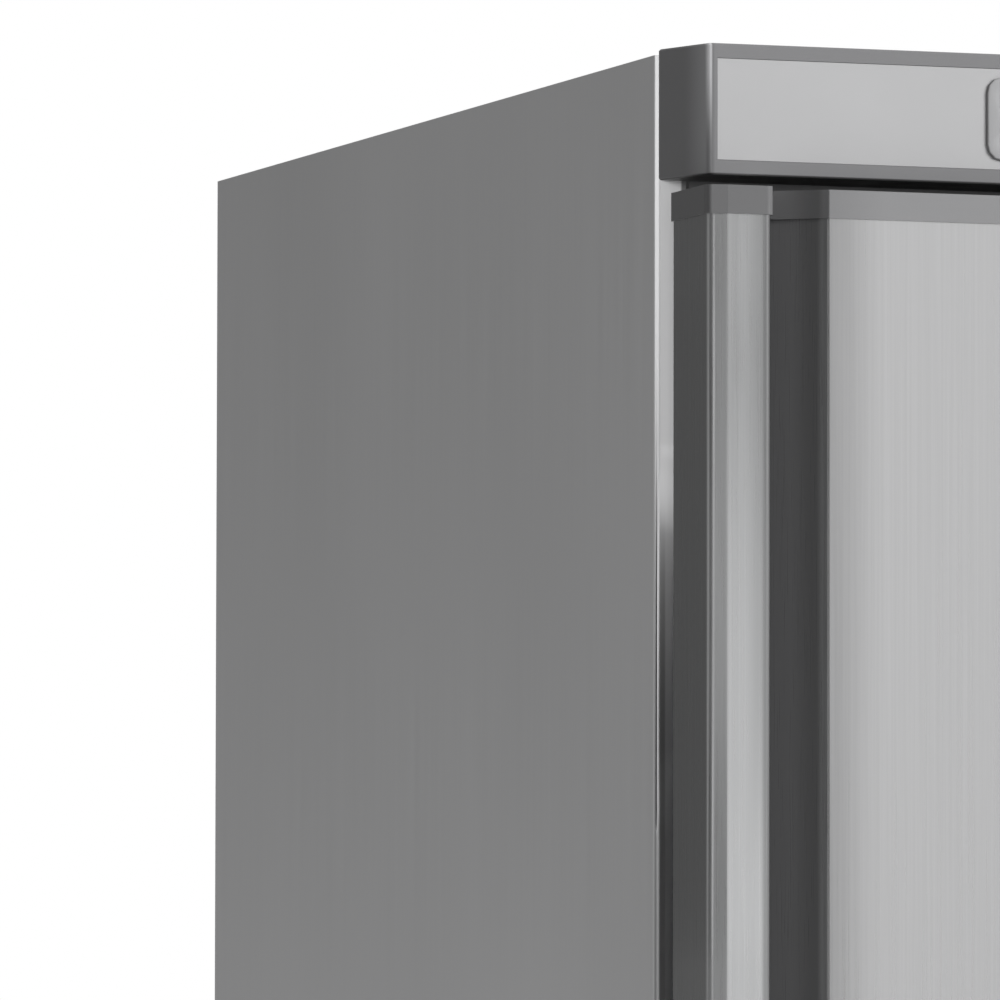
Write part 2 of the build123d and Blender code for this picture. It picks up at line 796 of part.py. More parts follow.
def base_grille():
    """Moulded plinth under the door with rows of air slots, open at the back."""
    shell = upright(tapered(GRILLE_REACH, GRILLE_T, 0), GRILLE_Z, GRILLE_Z + GRILLE_H)
    hollow = tapered(GRILLE_REACH, GRILLE_T, GRILLE_T)
    shell -= upright(hollow, GRILLE_Z + GRILLE_T, GRILLE_Z + GRILLE_H - GRILLE_T)
    middle = GRILLE_Z + GRILLE_H / 2
    for row in range(SLOT_ROWS):
        z = middle + (row - (SLOT_ROWS - 1) / 2) * SLOT_PITCH
        for column in range(SLOT_COLUMNS):
            x = (column - (SLOT_COLUMNS - 1) / 2) * SLOT_STEP
            shell -= block(
                x - SLOT_W / 2, x + SLOT_W / 2, ahead(GRILLE_REACH + 1),
                ahead(GRILLE_REACH - GRILLE_T - 0.1), z - SLOT_H / 2, z + SLOT_H / 2,
            )
    for x, z in grille_screw_places():
        boss = SCREW_HEAD_R + HEAD_GAP + GRILLE_BOSS_WALL
        shell += bar_y(x, z, ahead(GRILLE_REACH - GRILLE_T / 2), ahead(0), boss, 8)
        shell -= bar_y(x, z, ahead(GRILLE_REACH + 1), ahead(-1), SCREW_R + SCREW_FIT, 8, True)
        sink = ahead(GRILLE_REACH - SCREW_HEAD_H)
        shell -= bar_y(x, z, ahead(GRILLE_REACH + 1), sink, SCREW_HEAD_R + HEAD_GAP, 8)
    return shell - bracket_notch(GRILLE_Z + GRILLE_H - GRILLE_T - 1, GRILLE_Z + GRILLE_H + 1)


def grille_screws():
    screws = []
    for x, z in grille_screw_places():
        head = bar_y(x, z, ahead(GRILLE_REACH), ahead(GRILLE_REACH - SCREW_HEAD_H), SCREW_HEAD_R, 8)
        shank = bar_y(x, z, ahead(GRILLE_REACH - SCREW_HEAD_H), ahead(-SCREW_REACH), SCREW_R, 8)
        screws.append(head + shank)
    return screws


# Hinges

def hinge_screw_places():
    x = HINGE_X - HINGE_OFFSET
    top = FASCIA_Z + FASCIA_T + 8
    bottom = DOOR_BOTTOM - THRUST_GAP - THRUST_T - HINGE_PLATE - 10
    return [
        (x, top + HINGE_SCREW_PITCH), (x, top),
        (x, bottom), (x, bottom - HINGE_SCREW_PITCH),
    ]


def bracket_sides():
    x0 = HINGE_X - HINGE_OFFSET - HINGE_W / 2
    return x0, x0 + HINGE_W


def hinge_bracket(top):
    """Angle plate: a leg screwed to the front flange and a tongue that carries the pin."""
    x0, x1 = bracket_sides()
    screws = hinge_screw_places()[:2] if top else hinge_screw_places()[2:]
    near = DOOR_TOP + THRUST_T + THRUST_GAP
    if not top:
        near = DOOR_BOTTOM - THRUST_T - THRUST_GAP - HINGE_PLATE
    far = near + HINGE_LEG if top else near + HINGE_PLATE - HINGE_LEG
    tongue = plan([
        (x0 - LEFT, 0, 0),
        (x0 - LEFT, HINGE_F + HINGE_NOSE_R, HINGE_NOSE_R),
        (x1 - LEFT, HINGE_F + HINGE_NOSE_R, HINGE_NOSE_R - 2),
        (x1 - LEFT, 0, 0),
    ], 3)
    z0, z1 = sorted((near if top else near + HINGE_PLATE, far))
    leg = block(x0, x1, ahead(0), ahead(HINGE_PLATE), z0, z1)
    bracket = upright(tongue, near, near + HINGE_PLATE) + leg
    bracket -= pole(HINGE_X, HINGE_Y, near - 1, near + HINGE_PLATE + 1, SPIGOT_R)
    for x, z in screws:
        bracket -= bar_y(x, z, ahead(-1), ahead(HINGE_PLATE + 1), SCREW_R + SCREW_FIT, 8, True)
    return bracket


def hinge_pin(top):
    """Shouldered pin: a spigot riveted in the bracket and a shank in the door's bush."""
    if top:
        face = DOOR_TOP + THRUST_T + THRUST_GAP
        shank = pole(HINGE_X, HINGE_Y, DOOR_TOP - PIN_DEPTH, face, PIN_R)
        return shank + pole(HINGE_X, HINGE_Y, face, face + HINGE_PLATE, SPIGOT_R)
    face = DOOR_BOTTOM - THRUST_T - THRUST_GAP
    shank = pole(HINGE_X, HINGE_Y, face, DOOR_BOTTOM + PIN_DEPTH, PIN_R)
    return shank + pole(HINGE_X, HINGE_Y, face - HINGE_PLATE, face, SPIGOT_R)


def hinge_bush(top):
    """Flanged plastic bush: it takes the pin and its flange takes the thrust."""
    way = -1 if top else 1
    face = DOOR_TOP if top else DOOR_BOTTOM
    bush = pole(HINGE_X, HINGE_Y, face, face + way * BUSH_L, BUSH_R)
    bush += pole(HINGE_X, HINGE_Y, face, face - way * THRUST_T, THRUST_R)
    bore = pole(HINGE_X, HINGE_Y, face - way * 5, face + way * (BUSH_L + 1), PIN_R + PIN_FIT, hole=True)
    return bush - bore


def hinge_screws():
    screws = []
    for x, z in hinge_screw_places():
        head = bar_y(x, z, ahead(HINGE_PLATE + SCREW_HEAD_H), ahead(HINGE_PLATE), SCREW_HEAD_R, 8)
        screws.append(head + bar_y(x, z, ahead(HINGE_PLATE), ahead(-SCREW_REACH), SCREW_R, 8))
    return screws


# Door

PULL_U0 = DOOR_INSET + PULL_SIDE_T
PULL_U2 = DOOR_INSET + LIP_W + PULL_MOUTH
PULL_U1 = PULL_U2 - PULL_RAMP
RAMP_LEAN = atan2(DOOR_FACE - PULL_FLOOR, PULL_RAMP)
CAP_Z = {"top": (DOOR_TOP - CAP_H, DOOR_TOP), "bottom": (DOOR_BOTTOM, DOOR_BOTTOM + CAP_H)}
SHELL_Z = (DOOR_BOTTOM + CAP_PLATE, DOOR_TOP - CAP_PLATE)


def pull_corners(grow):
    """The visible plan of the pull, from the left rear corner to the foot of its ramp.

    grow moves every wall outward, which is how the end caps stand a little proud.
    """
    lip = DOOR_INSET + LIP_W
    shoulder = atan2(LIP_SHOULDER_DROP, LIP_SHOULDER_W)
    under = LIP_FACE - LIP_T - grow
    return [
        (DOOR_INSET - grow, GASKET_GAP, 0),
        (DOOR_INSET - grow, LIP_FACE - LIP_SHOULDER_DROP + grow * tan(pi / 4 - shoulder / 2), LIP_CORNER_R),
        (DOOR_INSET + LIP_SHOULDER_W - grow * tan(shoulder / 2), LIP_FACE + grow, 0),
        (lip + grow, LIP_FACE + grow, NOSE_R + grow),
        (lip + grow, under, NOSE_R + grow),
        (PULL_U0 + grow, under, 0),
        (PULL_U0 + grow, PULL_FLOOR + grow, 0),
        (PULL_U1 - grow * tan(RAMP_LEAN / 2), PULL_FLOOR + grow, PULL_BLEND_R + grow),
    ]


def door_plan(grow):
    """The whole plan of the door, from the pull to the hinge side."""
    right = WIDTH - DOOR_INSET + grow
    face = DOOR_FACE + grow
    corners = pull_corners(grow) + [
        (PULL_U2 - grow * tan(RAMP_LEAN / 2), face, 0),
        (right, face, DOOR_EDGE_R + grow),
        (right, GASKET_GAP, 0),
    ]
    return plan(corners)


def profile_back():
    """Where the pull's wall ends on its hidden side: (u, f, radius) from the skin seat back to the rear."""
    seat = DOOR_FACE - SKIN_T - PROFILE_WALL
    floor = PULL_FLOOR - PROFILE_WALL
    meet = PULL_U2 + PROFILE_WALL * tan(RAMP_LEAN / 2)
    foot = PULL_U1 + PROFILE_WALL * tan(RAMP_LEAN / 2)
    return [
        (meet - SKIN_T / tan(RAMP_LEAN), seat, 0),
        (foot, floor, PULL_BLEND_R - PROFILE_WALL),
        (DOOR_INSET + PROFILE_WALL, floor, 0),
    ]


def handle_profile():
    """Full-height extrusion that forms the door's left side, the lip and the finger pull."""
    seat_end = PULL_U2 + SKIN_SEAT
    corners = pull_corners(0) + [
        (PULL_U2, DOOR_FACE, 0),
        (PULL_U2, DOOR_FACE - SKIN_T, 0),
        (seat_end, DOOR_FACE - SKIN_T, 0),
        (seat_end, DOOR_FACE - SKIN_T - PROFILE_WALL, 0),
        *profile_back(),
        (DOOR_INSET + PROFILE_WALL, PANEL_F, 0),
        (DOOR_INSET + SEAL_INSET, PANEL_F, 0),
        (DOOR_INSET + SEAL_INSET, GASKET_GAP, 0),
    ]
    return upright(plan(corners), *SHELL_Z)


def door_skin():
    """Folded front sheet with its hinge side and rear return."""
    right = WIDTH - DOOR_INSET
    corners = [
        (PULL_U2 + 0.1, DOOR_FACE, 0),
        (right, DOOR_FACE, DOOR_EDGE_R),
        (right, GASKET_GAP, 0),
        (right - SEAL_INSET, GASKET_GAP, 0),
        (right - SEAL_INSET, PANEL_F, 0),
        (right - SKIN_T, PANEL_F, 0),
        (right - SKIN_T, DOOR_FACE - SKIN_T, DOOR_EDGE_R - SKIN_T),
        (PULL_U2 + 0.1, DOOR_FACE - SKIN_T, 0),
    ]
    return upright(plan(corners), *SHELL_Z)


def door_cap(end):
    """Moulded end cap, a plate with a thin skirt that stands proud of the door all round."""
    z0, z1 = CAP_Z[end]
    cap = upright(door_plan(CAP_PROUD), z0, z1)
    if end == "top":
        hollow = (z0 - 1, z1 - CAP_PLATE)
    else:
        hollow = (z0 + CAP_PLATE, z1 + 1)
    cap -= upright(door_plan(CAP_FIT), *hollow)
    way = -1 if end == "top" else 1
    face = DOOR_TOP if end == "top" else DOOR_BOTTOM
    plate = face + way * CAP_PLATE
    cap += pole(HINGE_X, HINGE_Y, plate - way, face + way * BOSS_DEPTH, BOSS_R)
    return cap - pole(HINGE_X, HINGE_Y, face - way, face + way * (BOSS_DEPTH + 1), BUSH_R)


def plug_block(inset, f0, f1):
    half = OPEN_HALF - PLUG_CLEAR - inset
    z0 = OPEN_BOTTOM + PLUG_CLEAR + inset
    z1 = OPEN_TOP - PLUG_CLEAR - inset
    face = Pos(0, (z0 + z1) / 2) * eased(2 * half, z1 - z0, PLUG_R - inset, 3)
    plug = facing(face, ahead(f1), ahead(f0))
    return chamfer(plug.faces().sort_by(Axis.Y)[-1].edges(), PLUG_EDGE - inset * (2 - 2 ** 0.5))


def door_inner_panel():
    """Formed panel behind the door: a flat rim under the seal and a raised plug inside the opening."""
    left = DOOR_INSET + PROFILE_WALL + 1
    rim = block(
        across(left), -across(left), ahead(PANEL_F + DOOR_PANEL_T), ahead(PANEL_F), *SHELL_Z
    )
    back = PANEL_F - PLUG_REACH
    panel = rim + plug_block(0, back, PANEL_F)
    return panel - plug_block(DOOR_PANEL_T, back + DOOR_PANEL_T, PANEL_F + DOOR_PANEL_T + 1)


def door_foam():
    right = WIDTH - DOOR_INSET - SKIN_T
    rear = PANEL_F + DOOR_PANEL_T
    back = profile_back()
    corners = [
        (DOOR_INSET + PROFILE_WALL, rear, 0),
        back[2], back[1], back[0],
        (PULL_U2 + SKIN_SEAT, DOOR_FACE - SKIN_T - PROFILE_WALL, 0),
        (PULL_U2 + SKIN_SEAT, DOOR_FACE - SKIN_T, 0),
        (right, DOOR_FACE - SKIN_T, DOOR_EDGE_R - SKIN_T),
        (right, rear, 0),
    ]
    body = upright(plan(corners), *SHELL_Z)
    body += plug_block(DOOR_PANEL_T, PANEL_F - PLUG_REACH + DOOR_PANEL_T, rear + 0.5)
    for face, way in ((DOOR_TOP, -1), (DOOR_BOTTOM, 1)):
        body -= pole(HINGE_X, HINGE_Y, face, face + way * (BOSS_DEPTH + 0.1), BOSS_R + CAP_FIT, hole=True)
    low = SHELL_Z[1] - MAGNET_H - FIT
    body -= pole(across(SWITCH_U), ahead(SWITCH_F), low, SHELL_Z[1] + 1, MAGNET_R + FIT, hole=True)
    return body


def door_magnet():
    return pole(across(SWITCH_U), ahead(SWITCH_F), SHELL_Z[1] - MAGNET_H, SHELL_Z[1], MAGNET_R)


def door_gasket():
    """Magnetic seal: a base on the inner panel, a narrower bellows and the magnet bead."""
    out = DOOR_INSET + SEAL_INSET + SEAL_SIDE_GAP
    def ring(inset, f0, f1):
        outer = out + inset
        inner = DOOR_INSET + SEAL_IN - inset
        z_out = DOOR_BOTTOM - DOOR_INSET
        z_top = DOOR_TOP + DOOR_INSET
        whole = block(across(outer), -across(outer), ahead(f0), ahead(f1), z_out + outer, z_top - outer)
        return whole - block(
            across(inner), -across(inner), ahead(f0 - 1), ahead(f1 + 1), z_out + inner, z_top - inner
        )
    bead = ring(0, SEAL_CLEAR, SEAL_CLEAR + SEAL_MAGNET)
    neck = ring(SEAL_NECK_IN, SEAL_CLEAR + SEAL_MAGNET, PANEL_F - SEAL_BASE)
    return bead + neck + ring(0, PANEL_F - SEAL_BASE, PANEL_F)


# Shelves, lamp, fan and evaporator in the compartment

def shelf(level):
    """Wire shelf: a bar frame that rests on the ledges, with wires welded across it front to back."""
    half = OPEN_HALF - SHELF_SIDE_GAP
    y0 = ahead(-SHELF_FRONT)
    y1 = LINER_BACK - SHELF_BACK_GAP
    middle = (y0 + y1) / 2
    outer = Pos(0, middle) * eased(2 * half, y1 - y0, SHELF_CORNER_R)
    inner = Pos(0, middle) * eased(2 * (half - SHELF_BAR), y1 - y0 - 2 * SHELF_BAR, SHELF_CORNER_R - SHELF_BAR)
    grid = upright(outer - inner, level, level + SHELF_BAR)
    bar = SHELF_BAR / 2
    grid += block(-half + bar, half - bar, middle - bar, middle + bar, level, level + bar)
    pitch = 2 * (half - SHELF_BAR) / (WIRE_COUNT + 1)
    for i in range(WIRE_COUNT):
        x = -half + SHELF_BAR + pitch * (i + 1)
        grid += block(x - WIRE_R, x + WIRE_R, y0 + bar, y1 - bar, level + bar, level + SHELF_BAR)
    return grid


def lamp_base():
    z1 = OPEN_TOP
    y = ahead(-LAMP_BACK)
    return block(-LAMP_W / 2, LAMP_W / 2, y - LAMP_D / 2, y + LAMP_D / 2, z1 - LAMP_BASE, z1)


def lamp_cover():
    """Clear diffuser over the lamp's base, a shallow tray with eased long edges."""
    z1 = OPEN_TOP - LAMP_BASE
    y = ahead(-LAMP_BACK)
    z0 = OPEN_TOP - LAMP_H
    half, deep = LAMP_W / 2 - LAMP_LAND, LAMP_D / 2 - LAMP_LAND
    cover = block(-half, half, y - deep, y + deep, z0, z1)
    cover = chamfer(cover.edges().filter_by(Axis.X).sort_by(Axis.Z)[:2], LAMP_EDGE)
    half, deep = half - LAMP_WALL, deep - LAMP_WALL
    inner = block(-half, half, y - deep, y + deep, z0 + LAMP_WALL, z1 + 1)
    return cover - inner


FAN_Z = OPEN_TOP - FAN_TOP_GAP - FAN_BOX / 2
FAN_Y0 = LINER_BACK - FAN_DEPTH


def fan_housing():
    """Moulded box on the rear wall with a guarded round mouth and open slots in its sides."""
    box = facing(Pos(0, FAN_Z) * eased(FAN_BOX, FAN_BOX, FAN_BOX_R), FAN_Y0, LINER_BACK)
    inner = FAN_BOX - 2 * FAN_BOX_T
    hollow = Pos(0, FAN_Z) * eased(inner, inner, FAN_BOX_R - FAN_BOX_T)
    box -= facing(hollow, FAN_Y0 + FAN_BOX_T, LINER_BACK + 1)
    box -= bar_y(0, FAN_Z, FAN_Y0 - 1, FAN_Y0 + FAN_BOX_T + 1, FAN_MOUTH_R, 24, True)
    for i in range(FAN_VENTS):
        z = FAN_Z + (i - (FAN_VENTS - 1) / 2) * FAN_VENT_PITCH
        y0, y1 = FAN_Y0 + FAN_VENT_IN, LINER_BACK - FAN_VENT_IN
        box -= block(-FAN_BOX, FAN_BOX, y0, y1, z - FAN_VENT_H / 2, z + FAN_VENT_H / 2)
    return box + fan_guard()


def fan_guard():
    """Finger guard of the fan's mouth: flat rings on four arms."""
    y0 = FAN_Y0 - GUARD_T
    radii = [FAN_MOUTH_R + 2] + [FAN_MOUTH_R * (i + 1) / (GUARD_RINGS + 1) for i in range(GUARD_RINGS)]
    guard = None
    for radius in radii:
        half = GUARD_T if radius > FAN_MOUTH_R else GUARD_T / 2
        ring = Pos(0, FAN_Z) * (RegularPolygon(radius + half, 18) - RegularPolygon(radius - half, 18))
        solid = facing(ring, y0, FAN_Y0)
        guard = guard + solid if guard else solid
    for angle in (45, 135):
        guard += Pos(0, y0 + GUARD_T / 2, FAN_Z) * Rot(0, angle, 0) * Box(2 * FAN_MOUTH_R, GUARD_T, GUARD_T)
    return guard


def fan_motor():
    """Small motor at the back of the housing, on a cross bar, with its shaft towards the door."""
    y1 = LINER_BACK - STRAP_T
    half = FAN_BOX / 2 - FAN_BOX_T
    body = bar_y(0, FAN_Z, y1 - MOTOR_L, y1, MOTOR_R)
    strap = block(-half, half, y1, LINER_BACK, FAN_Z - STRAP_W / 2, FAN_Z + STRAP_W / 2)
    shaft = bar_y(0, FAN_Z, y1 - MOTOR_L - HUB_L + 2, y1 - MOTOR_L, SHAFT_R, 8)
    return body + strap + shaft


def fan_rotor():
    """Hub and pitched blades, bored for the motor's shaft."""
    y1 = LINER_BACK - STRAP_T - MOTOR_L - 1
    y0 = y1 - HUB_L
    rotor = bar_y(0, FAN_Z, y0, y1, HUB_R)
    for i in range(BLADES):
        root = Pos(0, (y0 + y1) / 2, HUB_R - 3) * Rot(0, 0, BLADE_PITCH)
        tip = Pos(0, (y0 + y1) / 2, FAN_TIP_R) * Rot(0, 0, BLADE_PITCH)
        blade = stack([root * Rectangle(BLADE_ROOT, BLADE_T), tip * Rectangle(BLADE_TIP, BLADE_T)])
        turn = Pos(0, 0, FAN_Z) * Rot(0, 360 / BLADES * i, 0)
        rotor += turn * blade
    return rotor - bar_y(0, FAN_Z, y0 + 2, y1 + 1, SHAFT_R + PIN_FIT, 8, True)


def evaporator_plate():
    """Aluminium plate with a pressed serpentine channel, on four short pillars off the rear wall."""
    y1 = LINER_BACK - STANDOFF
    z0 = EVAPORATOR_BOTTOM
    z1 = z0 + EVAPORATOR_H
    plate = block(-EVAPORATOR_W / 2, EVAPORATOR_W / 2, y1 - EVAPORATOR_T, y1, z0, z1)
    edge = 30.0
    pitch = (EVAPORATOR_H - 2 * edge) / (CHANNEL_PASSES - 1)
    points = []
    for i in range(CHANNEL_PASSES):
        xs = (-1, 1) if i % 2 == 0 else (1, -1)
        for side in xs:
            points.append((side * (EVAPORATOR_W / 2 - edge), z0 + edge + i * pitch))
    channel = trace(Polyline(*points), line_width=CHANNEL_W)
    plate += facing(channel, y1 - EVAPORATOR_T - CHANNEL_T, y1 - EVAPORATOR_T / 2)
    for side in (-1, 1):
        for z in (z0 + PILLAR_IN, z1 - PILLAR_IN):
            plate += bar_y(side * (EVAPORATOR_W / 2 - PILLAR_IN), z, y1 - 0.2, LINER_BACK, PILLAR_R, 6)
    return plate


GUTTER_Z = EVAPORATOR_BOTTOM - 30


def drip_gutter():
    """Open channel under the evaporator with an outlet through the rear wall."""
    half = EVAPORATOR_W / 2 + 6
    y0 = LINER_BACK - GUTTER_DEPTH
    trough = block(-half, half, y0, LINER_BACK, GUTTER_Z, GUTTER_Z + GUTTER_H)
    trough -= block(
        -half + GUTTER_T, half - GUTTER_T, y0 + GUTTER_T, LINER_BACK - GUTTER_T,
        GUTTER_Z + GUTTER_T, GUTTER_Z + GUTTER_H + 1,
    )
    return trough - pole(0, drain_y(), GUTTER_Z - 1, GUTTER_Z + GUTTER_T + 1, DRAIN_BORE, 8)


def drain_y():
    return LINER_BACK - GUTTER_DEPTH / 2


def drain_route(end):
    """Down from the gutter, back through the wall and down in the insulation to the tray."""
    low = GUTTER_Z - 22
    back = LINER_BACK + LINER_T + REAR_FOAM / 2
    return [(0, drain_y(), GUTTER_Z), (0, drain_y(), low), (0, back, low - 30), (0, back, end)]


def drain_tube():
    return pipe(drain_route(PAN_TOP + BAY_H - 6), DRAIN_R, 10)


def drain_hole():
    return pipe(drain_route(BAY_CEILING - 2), DRAIN_R + 0.6, 10)


def temperature_probe():
    """Sensor bulb in a clip on the right wall."""
    x = OPEN_HALF
    z = SHELF_FIRST + 2.6 * SHELF_PITCH
    y = LINER_BACK - 90
    clip = block(x - 12, x, y - 10, y + 10, z - 7, z + 7)
    return clip + bar_y(x - 8, z, y - 26, y + 14, 3.5)


# Machine bay

def compressor():
    """Welded oval shell with domed ends, a seam flange and two foot bars."""
    cx, cy = compressor_centre()
    z0 = PAN_TOP + GROMMET_H + FOOT_BAR_T
    levels = []
    for i in range(DOME_STEPS + 1):
        turn = pi / 2 * i / DOME_STEPS
        levels.append((DOME_R * (1 - cos(turn)), DOME_R * (1 - sin(turn))))
    levels += [(COMPRESSOR_H - height, inset) for height, inset in reversed(levels)]
    sections = []
    for height, inset in levels:
        face = eased(COMPRESSOR_L - 2 * inset, COMPRESSOR_W - 2 * inset, COMPRESSOR_R - inset, 3)
        sections.append(Pos(cx, cy, z0 + height) * face)
    shell = stack(sections)
    rim = eased(COMPRESSOR_L + 2 * SEAM_PROUD, COMPRESSOR_W + 2 * SEAM_PROUD, COMPRESSOR_R + SEAM_PROUD, 3)
    seam = z0 + COMPRESSOR_H * 0.5
    shell += upright(Pos(cx, cy) * rim, seam, seam + SEAM_H)
    for side in (-1, 1):
        y = cy + side * MOUNT_Y
        bar = Pos(cx, y) * eased(2 * MOUNT_X + FOOT_BAR_W, FOOT_BAR_W, 10)
        shell += upright(bar, z0 - FOOT_BAR_T, z0 + 0.5)
    for x, y in mount_places():
        shell -= pole(x, y, z0 - FOOT_BAR_T - 1, z0 + 1, SCREW_R + SCREW_FIT, 8, True)
    return shell


def compressor_grommets():
    grommets = []
    for x, y in mount_places():
        grommet = pole(x, y, PAN_TOP, PAN_TOP + GROMMET_H, GROMMET_R)
        bore = pole(x, y, PAN_TOP - 1, PAN_TOP + GROMMET_H + 1, SCREW_R + SCREW_FIT, 8, True)
        grommets.append(grommet - bore)
    return grommets


def compressor_screws():
    screws = []
    top = PAN_TOP + GROMMET_H + FOOT_BAR_T + 0.5
    for x, y in mount_places():
        shank = pole(x, y, BASE_CLEAR, top, SCREW_R, 8)
        screws.append(shank + pole(x, y, top, top + SCREW_HEAD_H, SCREW_HEAD_R, 8))
    return screws


def relay_box():
    """Terminal cover on the compressor's right end."""
    cx, cy = compressor_centre()
    x0 = cx + COMPRESSOR_L / 2
    z0 = PAN_TOP + GROMMET_H + RELAY_LIFT
    half = RELAY_W / 2
    cover = block(x0 + SEAM_PROUD, x0 + SEAM_PROUD + RELAY_D, cy - half, cy + half, z0, z0 + RELAY_H)
    cover = chamfer(cover.edges().filter_by(Axis.Z).sort_by(Axis.X)[-2:], RELAY_EDGE)
    pin = block(x0 - 2, x0 + SEAM_PROUD + 1, cy - half / 2, cy + half / 2, z0 + RELAY_EDGE, z0 + RELAY_H / 2)
    return cover + pin - compressor()


def evaporation_tray():
    """Tray on the warm compressor that catches the defrost water."""
    cx, cy = compressor_centre()
    z0 = PAN_TOP + GROMMET_H + FOOT_BAR_T + COMPRESSOR_H
    place = Pos(cx, cy + TRAY_BACK)
    outer = place * eased(TRAY_L, TRAY_W, TRAY_R)
    inner = place * eased(TRAY_L - 2 * TRAY_T, TRAY_W - 2 * TRAY_T, TRAY_R - TRAY_T)
    tray = upright(outer, z0, z0 + TRAY_H)
    return tray - upright(inner, z0 + TRAY_T, z0 + TRAY_H + 1)


def condenser_y():
    return REAR_INNER + SHEET + CONDENSER_STAND


def condenser_tube():
    """One tube from the compressor up the back and down in level passes to the drier."""
    cx, cy = compressor_centre()
    y = condenser_y()
    x_end = cx - COMPRESSOR_L / 2
    riser = -CONDENSER_HALF_W - 30
    points = [
        (x_end - 1, cy + 20, 150), (riser, cy + 20, 150), (riser, y, 150),
    ]
    top = CONDENSER_BOTTOM + (CONDENSER_PASSES - 1) * CONDENSER_PITCH
    points.append((riser, y, top))
    for i in range(CONDENSER_PASSES):
        z = top - i * CONDENSER_PITCH
        side = 1 if i % 2 == 0 else -1
        if i:
            points.append((-side * CONDENSER_HALF_W, y, z))
        points.append((side * CONDENSER_HALF_W, y, z))
    x, _, _ = points[-1]
    points += [(x, y, BAY_CEILING - 20), (x, y - DRIER_IN, BAY_CEILING - 20), (x, y - DRIER_IN, drier_top())]
    bends = [24] * (len(points) - 4) + [14, 14]
    return pipe(points, TUBE_R, bends)


def drier_place():
    side = 1 if CONDENSER_PASSES % 2 else -1
    return side * CONDENSER_HALF_W, condenser_y() - DRIER_IN


def drier_top():
    return BAY_CEILING - 45


def filter_drier():
    """Copper cartridge with drawn-down ends at the condenser's outlet."""
    x, y = drier_place()
    z1 = drier_top()
    neck = DRIER_R * 0.8
    rings = [(0, TUBE_R + 0.6), (-neck, DRIER_R), (neck - DRIER_L, DRIER_R), (-DRIER_L, TUBE_R)]
    return stack([Pos(x, y, z1 + z) * RegularPolygon(r, 12) for z, r in rings])


def refrigerant_lines():
    """The suction line back to the compressor and the capillary from the drier, up into the insulation."""
    cx, cy = compressor_centre()
    x_end = cx - COMPRESSOR_L / 2
    suction = pipe([
        (x_end, cy - 20, 120), (x_end - 44, cy - 20, 120), (x_end - 44, cy - 20, BAY_CEILING),
    ], SUCTION_R, 18)
    x, y = drier_place()
    low = drier_top() - DRIER_L
    capillary = pipe([
        (x, y, low), (x, y, low - 26), (x + 30, y, low - 26), (x + 30, y, BAY_CEILING),
    ], CAPILLARY_R, 10)
    return [suction, capillary]


def power_inlet():
    """Moulded inlet box at the right of the bay, its socket facing the back, with no cord."""
    x = WIDTH / 2 - INLET_IN
    y1 = REAR_Y - INLET_BACK
    z1 = PAN_TOP + INLET_H
    box = block(x - INLET_W / 2, x + INLET_W / 2, y1 - INLET_D, y1, PAN_TOP, z1)
    box = fillet(box.edges().filter_by(Axis.Y).sort_by(Axis.Z)[-2:], 4)
    z = PAN_TOP + INLET_H / 2
    mouth = Pos(x, z) * Rectangle(24.5, 17.0)
    mouth = chamfer(mouth.vertices().sort_by(Axis.Y)[-2:], 4.5)
    box -= facing(mouth, y1 - 15.5, y1 + 1)
    for dx, dz in ((-7, -1.5), (0, 2.5), (7, -1.5)):
        box += block(x + dx - 1, x + dx + 1, y1 - 16, y1 - 3, z + dz - 2, z + dz + 2)
    return box


def condenser_wires():
    """Upright wires welded on the back of the condenser's passes."""
    y = condenser_y() + TUBE_R
    top = CONDENSER_BOTTOM + (CONDENSER_PASSES - 1) * CONDENSER_PITCH
    wires = []
    for i in range(CONDENSER_WIRES):
        x = (i - (CONDENSER_WIRES - 1) / 2) * (2 * (CONDENSER_HALF_W - 34) / (CONDENSER_WIRES - 1))
        wires.append(block(
            x - CONDENSER_WIRE / 2, x + CONDENSER_WIRE / 2, y, y + CONDENSER_WIRE,
            CONDENSER_BOTTOM - 14, top + 14,
        ))
    return wires


